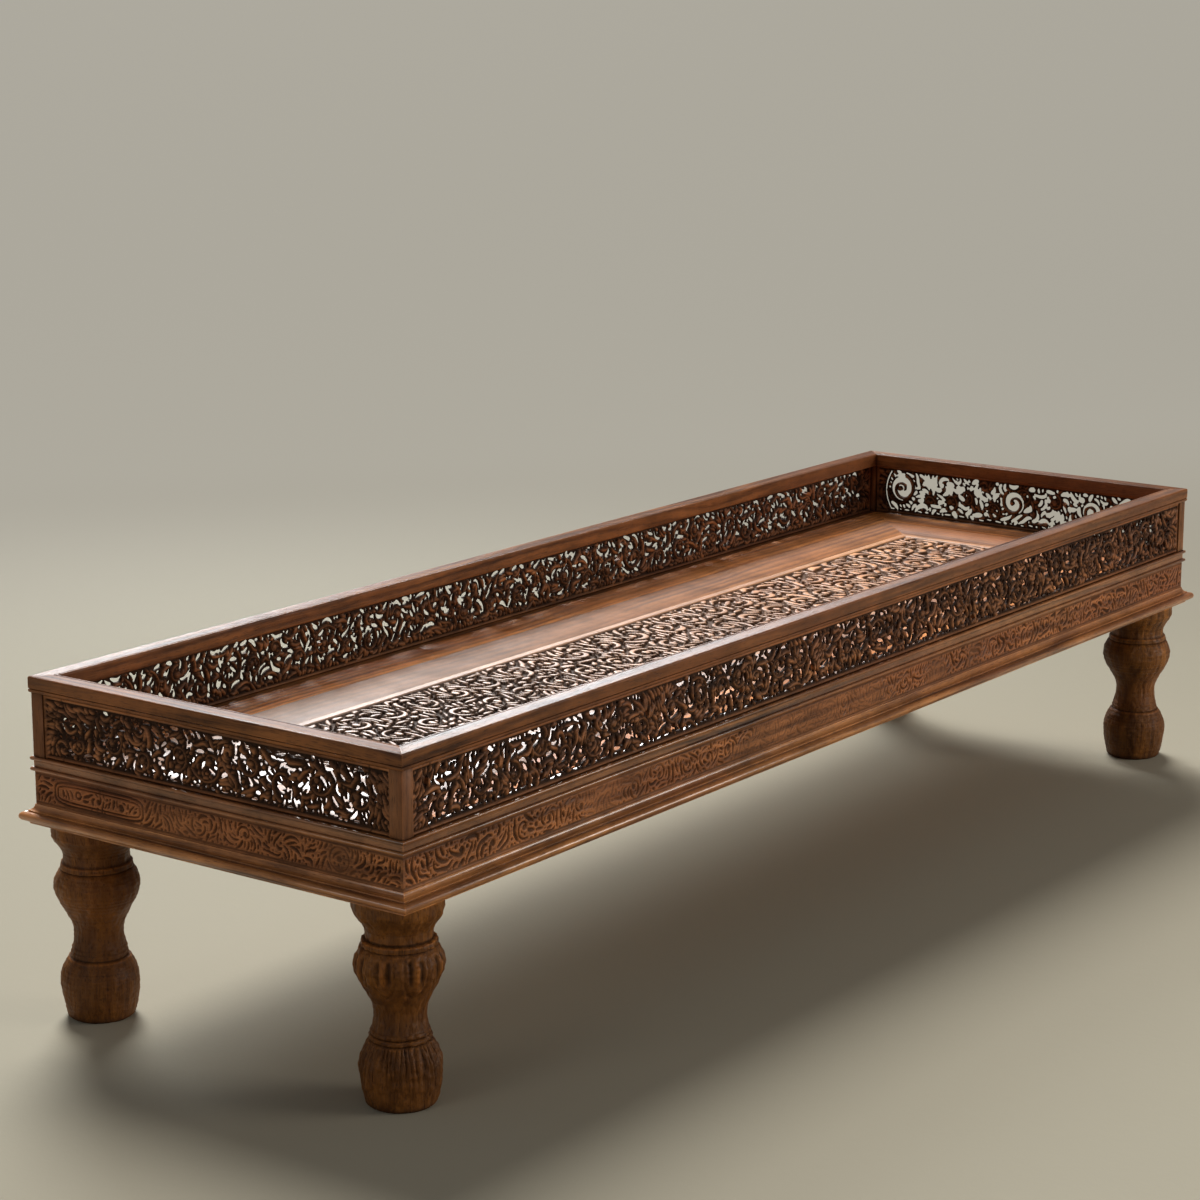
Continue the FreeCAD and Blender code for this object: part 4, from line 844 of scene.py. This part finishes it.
def make_gallery_panel(side):
    """The board is two grids, front and back of a half thickness that swells under each stroke. Cells
    inside an opening are left out, and the points along it move down its distance on to its outline."""
    along = ALONG[side]
    length = SIDE_RUN[along] - GALLERY_SHORTER
    rng = np.random.default_rng(7 + SIDE_TURN[side])
    strokes, swirls = gallery_swirls(side, length, rng)
    free = open_strip(length, GALLERY_HEIGHT, strokes)
    heading = curl_headings(free.shape, swirls, 0.75, rng, 0.6)
    if side != "right":
        strokes += grow_leaves(free, heading, rng, 2.8, 8.0, 5.0, 46, shortest=14)
    openings, standing = gallery_openings(side, length, strokes, swirls, rng)
    mark_taken(free, openings)
    strokes += grow_leaves(free, heading, rng, 2.9, 2.0, 0.9, 28, shortest=4) + standing
    dome, _ = stroke_fields(length, GALLERY_HEIGHT, strokes)
    _, through = stroke_fields(length, GALLERY_HEIGHT, openings)
    tuck = np.array([-GALLERY_TUCK, -0.1])
    across, upward = (
        np.concatenate([tuck, np.linspace(0.1, size - 0.1, int(size / GALLERY_CELL)), size - tuck[::-1]])
        for size in (length, GALLERY_HEIGHT))
    u, v = np.meshgrid(across, upward)
    bow = end_bow(v)
    end = GALLERY_END[side]
    ends = np.maximum(end - bow - u, u - (length - end + bow))
    opening = -sampled(through, u, v)
    if standing:
        _, clear = stroke_fields(length, GALLERY_HEIGHT, standing)
        opening = np.minimum(opening, sampled(clear, u, v))
    a, b, c, d = four_corners(opening)
    solid = keep_joined(a + d + b + c < 0)
    touching = sum(four_corners(np.pad(solid, 1).astype(int)))
    edge = (touching > 0) & (touching < 4) & (u > 1) & (u < length - 1) & (v > 1) & (v < GALLERY_HEIGHT - 1)
    slope_v, slope_u = np.gradient(opening, upward, across)
    steep = np.maximum(slope_u ** 2 + slope_v ** 2, 0.15)
    reach = 0.46 * GALLERY_CELL
    u, v = (place + np.where(edge, np.clip(-opening * slope / steep, -reach, reach), 0)
            for place, slope in ((u, slope_u), (v, slope_v)))
    top = sampled(dome, u, v)
    rim = np.maximum(1 - rise(u, 3, 4), 1 - rise(length - u, 3, 4))
    line = hump(ends, 0, 1.3)
    thick = GALLERY_THIN + 2.8 * np.clip(1.25 * top, 0, 1) - 0.7 * line
    thick = np.clip(thick, GALLERY_HALF * rim, GALLERY_HALF)
    thick = np.where((u < 0) | (u > length) | (v < 0) | (v > GALLERY_HEIGHT), GALLERY_TONGUE, thick)
    thick = thick - (rng.random(thick.shape) - 0.5) * 0.16
    front, rear = (from_side(side, u - length / 2, GALLERY_MIDDLE + sense * thick, GALLERY_BASE + v)
                   for sense in (-1, 1))
    # Low parts and the lines at the carved field's ends are painted darker, old wax and painted shade; leaf
    # tops are painted lighter, wear and a painted highlight.
    hollow = np.maximum(1 - rise(top, 0.10, 0.75), 0.8 * line) * (1 - rim)
    rub = rise(top, 0.6, 0.95) * 0.7
    finish = wood(f"gallery_finish_{along}", along, GALLERY_WOOD, wax=0.16, relief=0.35, ring_share=0.3)
    for number, part in enumerate(np.array_split(np.arange(solid.shape[1]), 2 if along == "x" else 1)):
        cols = slice(part[0], part[-1] + 2)
        faces = pierced_faces(solid[:, part[0]:part[-1] + 1])
        points = np.concatenate([front[:, cols].reshape(-1, 3), rear[:, cols].reshape(-1, 3)])
        used, places = np.unique(faces, return_inverse=True)
        # Per point: the darkening, old wax and painted shade, and the lightening, wear and a painted
        # highlight.
        deep, worn = (np.tile(values[:, cols].ravel(), 2)[used] for values in (hollow, rub))
        faces = places.reshape(faces.shape).tolist()
        carved_piece(f"pierced_gallery_{side}_{number + 1}", points[used], faces, 58, finish,
                     f"gallery_panel_{side}", "gallery_wood", hollow=deep, rub=worn)


for side in ALONG:
    make_gallery_panel(side)
post_finish = wood("gallery_post_finish", "z", GALLERY_WOOD, wax=0.15, relief=0.4, gloss=0.44,
                   arris_radius=0.0022)
for corner in CORNERS:
    dress(f"gallery_post_{corner}", post_finish)

# The top rails are flat strips, mitred at the corners, grooved below for the gallery. Their outer face has
# fine scratched lines, and the flat top is rubbed smooth by hands and arms.

TOP_RAIL_WOOD = (0.32, 0.121, 0.037), (0.070, 0.024, 0.008), (0.20, 0.062, 0.019)
TOP_RAIL_WAX = {"x": 0.15, "y": 0.06}
for side, along in ALONG.items():
    finish = wood(f"top_rail_finish_{along}", along, TOP_RAIL_WOOD, wax=TOP_RAIL_WAX[along], relief=0.35,
                  ring_share=0.5, gloss=0.40, wax_gloss=0.36, arris_radius=0.0025)
    dress(f"top_rail_{side}", finish)

# The deck is a carved centre panel inside two rings of plain boards, mitred at the corners and screwed to
# the bearers from below. The panel is cut all over with curling leaves inside a scratched border.

PANEL_WOOD = (0.98, 0.465, 0.190), (0.500, 0.200, 0.074), (0.80, 0.320, 0.115)
INNER_WOOD = (0.60, 0.224, 0.062), (0.230, 0.074, 0.020), (0.42, 0.132, 0.036)
# The outer boards' tones are lightened to make up for the back gallery's shadow on them: painted light.
OUTER_WOOD = (0.92, 0.350, 0.090), (0.300, 0.088, 0.022), (0.70, 0.215, 0.054)
# Pale tones mixed in towards the left end: a painted sheen.
PANEL_PAINTED_SHEEN, BOARD_PAINTED_SHEEN = (0.42, 0.33, 0.27), (0.30, 0.22, 0.165)
PANEL_LONG, PANEL_WIDE, PANEL_TOP, PANEL_BASE = 1582.4, 258.4, 328.0, 310.0
PANEL_CELL, PANEL_DEPTH, PANEL_MARGIN, PANEL_GROOVE, PANEL_STRETCH = 1.4, 4.2, 11.0, 2.2, 1.7
FIELD_LONG, FIELD_WIDE = PANEL_LONG - 2 * PANEL_MARGIN - 8, PANEL_WIDE - 2 * PANEL_MARGIN - 8
CURL_COLUMNS, CURL_RADIUS, CURL_BOSS, CURL_POINTS = 24, 19.5, 4.8, 90
LEAF_HALVES = (2.9, 3.6, 4.3)


def make_carved_panel():
    """The top is a grid: level over the margin, a groove, then level-topped leaves with steep sides that
    stand up from a sunk ground. Three rows of open rings with a boss carry the pattern, and leaves curl
    round them, all drawn on a strip squeezed across and then stretched."""
    rng = np.random.default_rng(21)
    swirls, strokes = [], []
    step = FIELD_LONG / CURL_COLUMNS
    swell = np.sin(np.linspace(0.15, math.pi - 0.15, CURL_POINTS)) ** 0.5
    for row, column in [(r, c) for r in (-1, 0, 1) for c in range(CURL_COLUMNS)]:
        middle = (PANEL_LONG / 2 + (column + 0.5) * step - FIELD_LONG / 2,
                  (PANEL_WIDE / 2 + row * 0.3 * FIELD_WIDE) / PANEL_STRETCH)
        mouth = 0 if row == 0 else math.pi
        t = np.linspace(0.5, 0.5 + rng.uniform(2.2, 4.6), CURL_POINTS) + mouth + rng.uniform(-1.0, 1.0)
        reach = CURL_RADIUS * np.linspace(1.0, rng.uniform(0.4, 1.0), CURL_POINTS)
        broad = rng.uniform(2.3, 3.1) * (1 + 0.4 * column / CURL_COLUMNS)
        strokes += [arc(middle, reach, t, broad * swell, PANEL_STRETCH), dot(middle, CURL_BOSS)]
        swirls.append((*middle, 1 if rng.random() < 0.5 else -1))
    narrow, edge = PANEL_WIDE / PANEL_STRETCH, PANEL_MARGIN + 4.5
    free = open_strip(PANEL_LONG, narrow, strokes, int(edge / PANEL_STRETCH) + 1, int(edge))
    heading = curl_headings(free.shape, swirls, 0.45, rng, 0.6)
    third = np.arange(free.shape[1]) * 3 // free.shape[1]
    for number, half in enumerate(LEAF_HALVES):
        for size, longest, shortest in ((half, 11 * half, 6), (0.7 * half, 7 * half, 4)):
            ground = np.where(third == number, free, 0)
            grown = grow_leaves(ground, heading, rng, size, size + 1.3, 0.9 * half, longest, shortest)
            mark_taken(free, grown)
            strokes += grown
    dome, gap = stroke_fields(PANEL_LONG, narrow, strokes)
    u, v = np.meshgrid(*(np.linspace(0, size, int(size / PANEL_CELL) + 1)
                         for size in (PANEL_LONG, PANEL_WIDE)))
    top, off = (sampled(field, u, v / PANEL_STRETCH) for field in (dome, gap))
    border = np.minimum(np.minimum(u, PANEL_LONG - u), np.minimum(v, PANEL_WIDE - v))
    field = rise(border, PANEL_MARGIN + 2.6, PANEL_MARGIN + 4.4)
    groove = rise(border, PANEL_MARGIN, PANEL_MARGIN + 1.2) * (1 - field)
    worn = 0.15 * patches(u, v, 60.0, rng)
    cut = field * (PANEL_DEPTH * rise(off, -1.0, 0.5) + 0.35 * (1 - top) + worn) + groove * PANEL_GROOVE
    # The sunk ground, the leaves' edges and the border groove are painted dark, old wax and painted shade, a
    # little less towards the right; the level leaf tops are painted light, wear and a painted highlight.
    hollow = field * rise(off, -1.5, -0.7) * (1 - 0.12 * rise(u, 300, 1300)) + groove
    rub = rise(top, 0.75, 1.0) * 0.7
    surface = np.stack([u - PANEL_LONG / 2, v - PANEL_WIDE / 2, PANEL_TOP - cut], -1) / 1000
    finish = wood("carved_panel_finish", "x", PANEL_WOOD, wax=1.0, relief=0.3, ring_share=0.3, wax_gloss=0.40,
                  painted_sheen=PANEL_PAINTED_SHEEN, far_wax=0.75)
    for number, part in enumerate(np.array_split(np.arange(u.shape[1] - 1), 3)):
        cols = slice(part[0], part[-1] + 2)
        below = surface[:, cols].copy()
        below[..., 2] = PANEL_BASE / 1000
        points, faces = slab(surface[:, cols], below)
        carved_piece(f"carved_deck_panel_{number + 1}", points, faces, 70, finish, "deck_carved_panel",
                     "carved_panel_wood", hollow=hollow[:, cols], rub=rub[:, cols])


make_carved_panel()
for ring_name, tones in (("inner", INNER_WOOD), ("outer", OUTER_WOOD)):
    for number, (side, along) in enumerate(ALONG.items()):
        # The inner boards and the left outer board carry the painted sheen towards the left end.
        wax, painted_sheen = (1.0, BOARD_PAINTED_SHEEN) if ring_name == "inner" or side == "left" else (0.06, None)
        finish = wood(f"{ring_name}_board_finish_{side}", along, tones, wax=wax, relief=0.3, ring_share=0.6,
                      shift=(0.37 * number, 0.11 * number, 0.05), arris_radius=0.0016, painted_sheen=painted_sheen)
        dress(f"deck_{ring_name}_board_{side}", finish, width=0.0006)

# Under the deck seven cross bearers and two end bearers rest on the base rails. They are plain sawn wood,
# never waxed. Pegs hold the legs' posts, and steel screws hold the bearers and the deck.

BEARER_WOOD = (0.40, 0.245, 0.135), (0.190, 0.100, 0.050), (0.30, 0.150, 0.075)
PEG_WOOD = (0.44, 0.270, 0.140), (0.240, 0.130, 0.065), (0.33, 0.180, 0.090)
STEEL_BRIGHT, STEEL_DULL = (0.40, 0.38, 0.35), (0.16, 0.11, 0.08)
BEARERS = [f"cross_bearer_{number}" for number in range(1, 8)] + ["end_bearer_left", "end_bearer_right"]
bearer_finish = wood("bearer_finish", "y", BEARER_WOOD, wax=0.0, relief=0.6, ring_share=0.6, gloss=0.62,
                     arris_radius=0.0018)
for name in BEARERS:
    dress(name, bearer_finish)
peg_finish = wood("peg_finish", "x", PEG_WOOD, wax=0.0, relief=0.5, ring_share=0.3, gloss=0.55,
                  arris_radius=0.0012)
dress("leg_pegs", peg_finish, width=0.0003)

steel = bpy.data.materials.new("screw_finish")
tree = cleared(steel)
tarnish = noise(tree, put(tree, "TexCoord").outputs["Object"], 420.0, 4.0, 0.65)
tint = mixed(tree, ramped(tree, tarnish, 0.45, 0.7), opaque(STEEL_BRIGHT), opaque(STEEL_DULL))
bumps = put(tree, "Bump", {"Height": tarnish, "Strength": 0.2, "Distance": 0.0002})
painted(tree, {"Base Color": tint, "Roughness": ramped(tree, tarnish, 0.3, 0.7, 0.32, 0.62),
               "Metallic": 1.0, "Normal": bumps.outputs[0]})
for name in ("deck_screws", "rail_screws"):
    dress(name, steel, width=0)
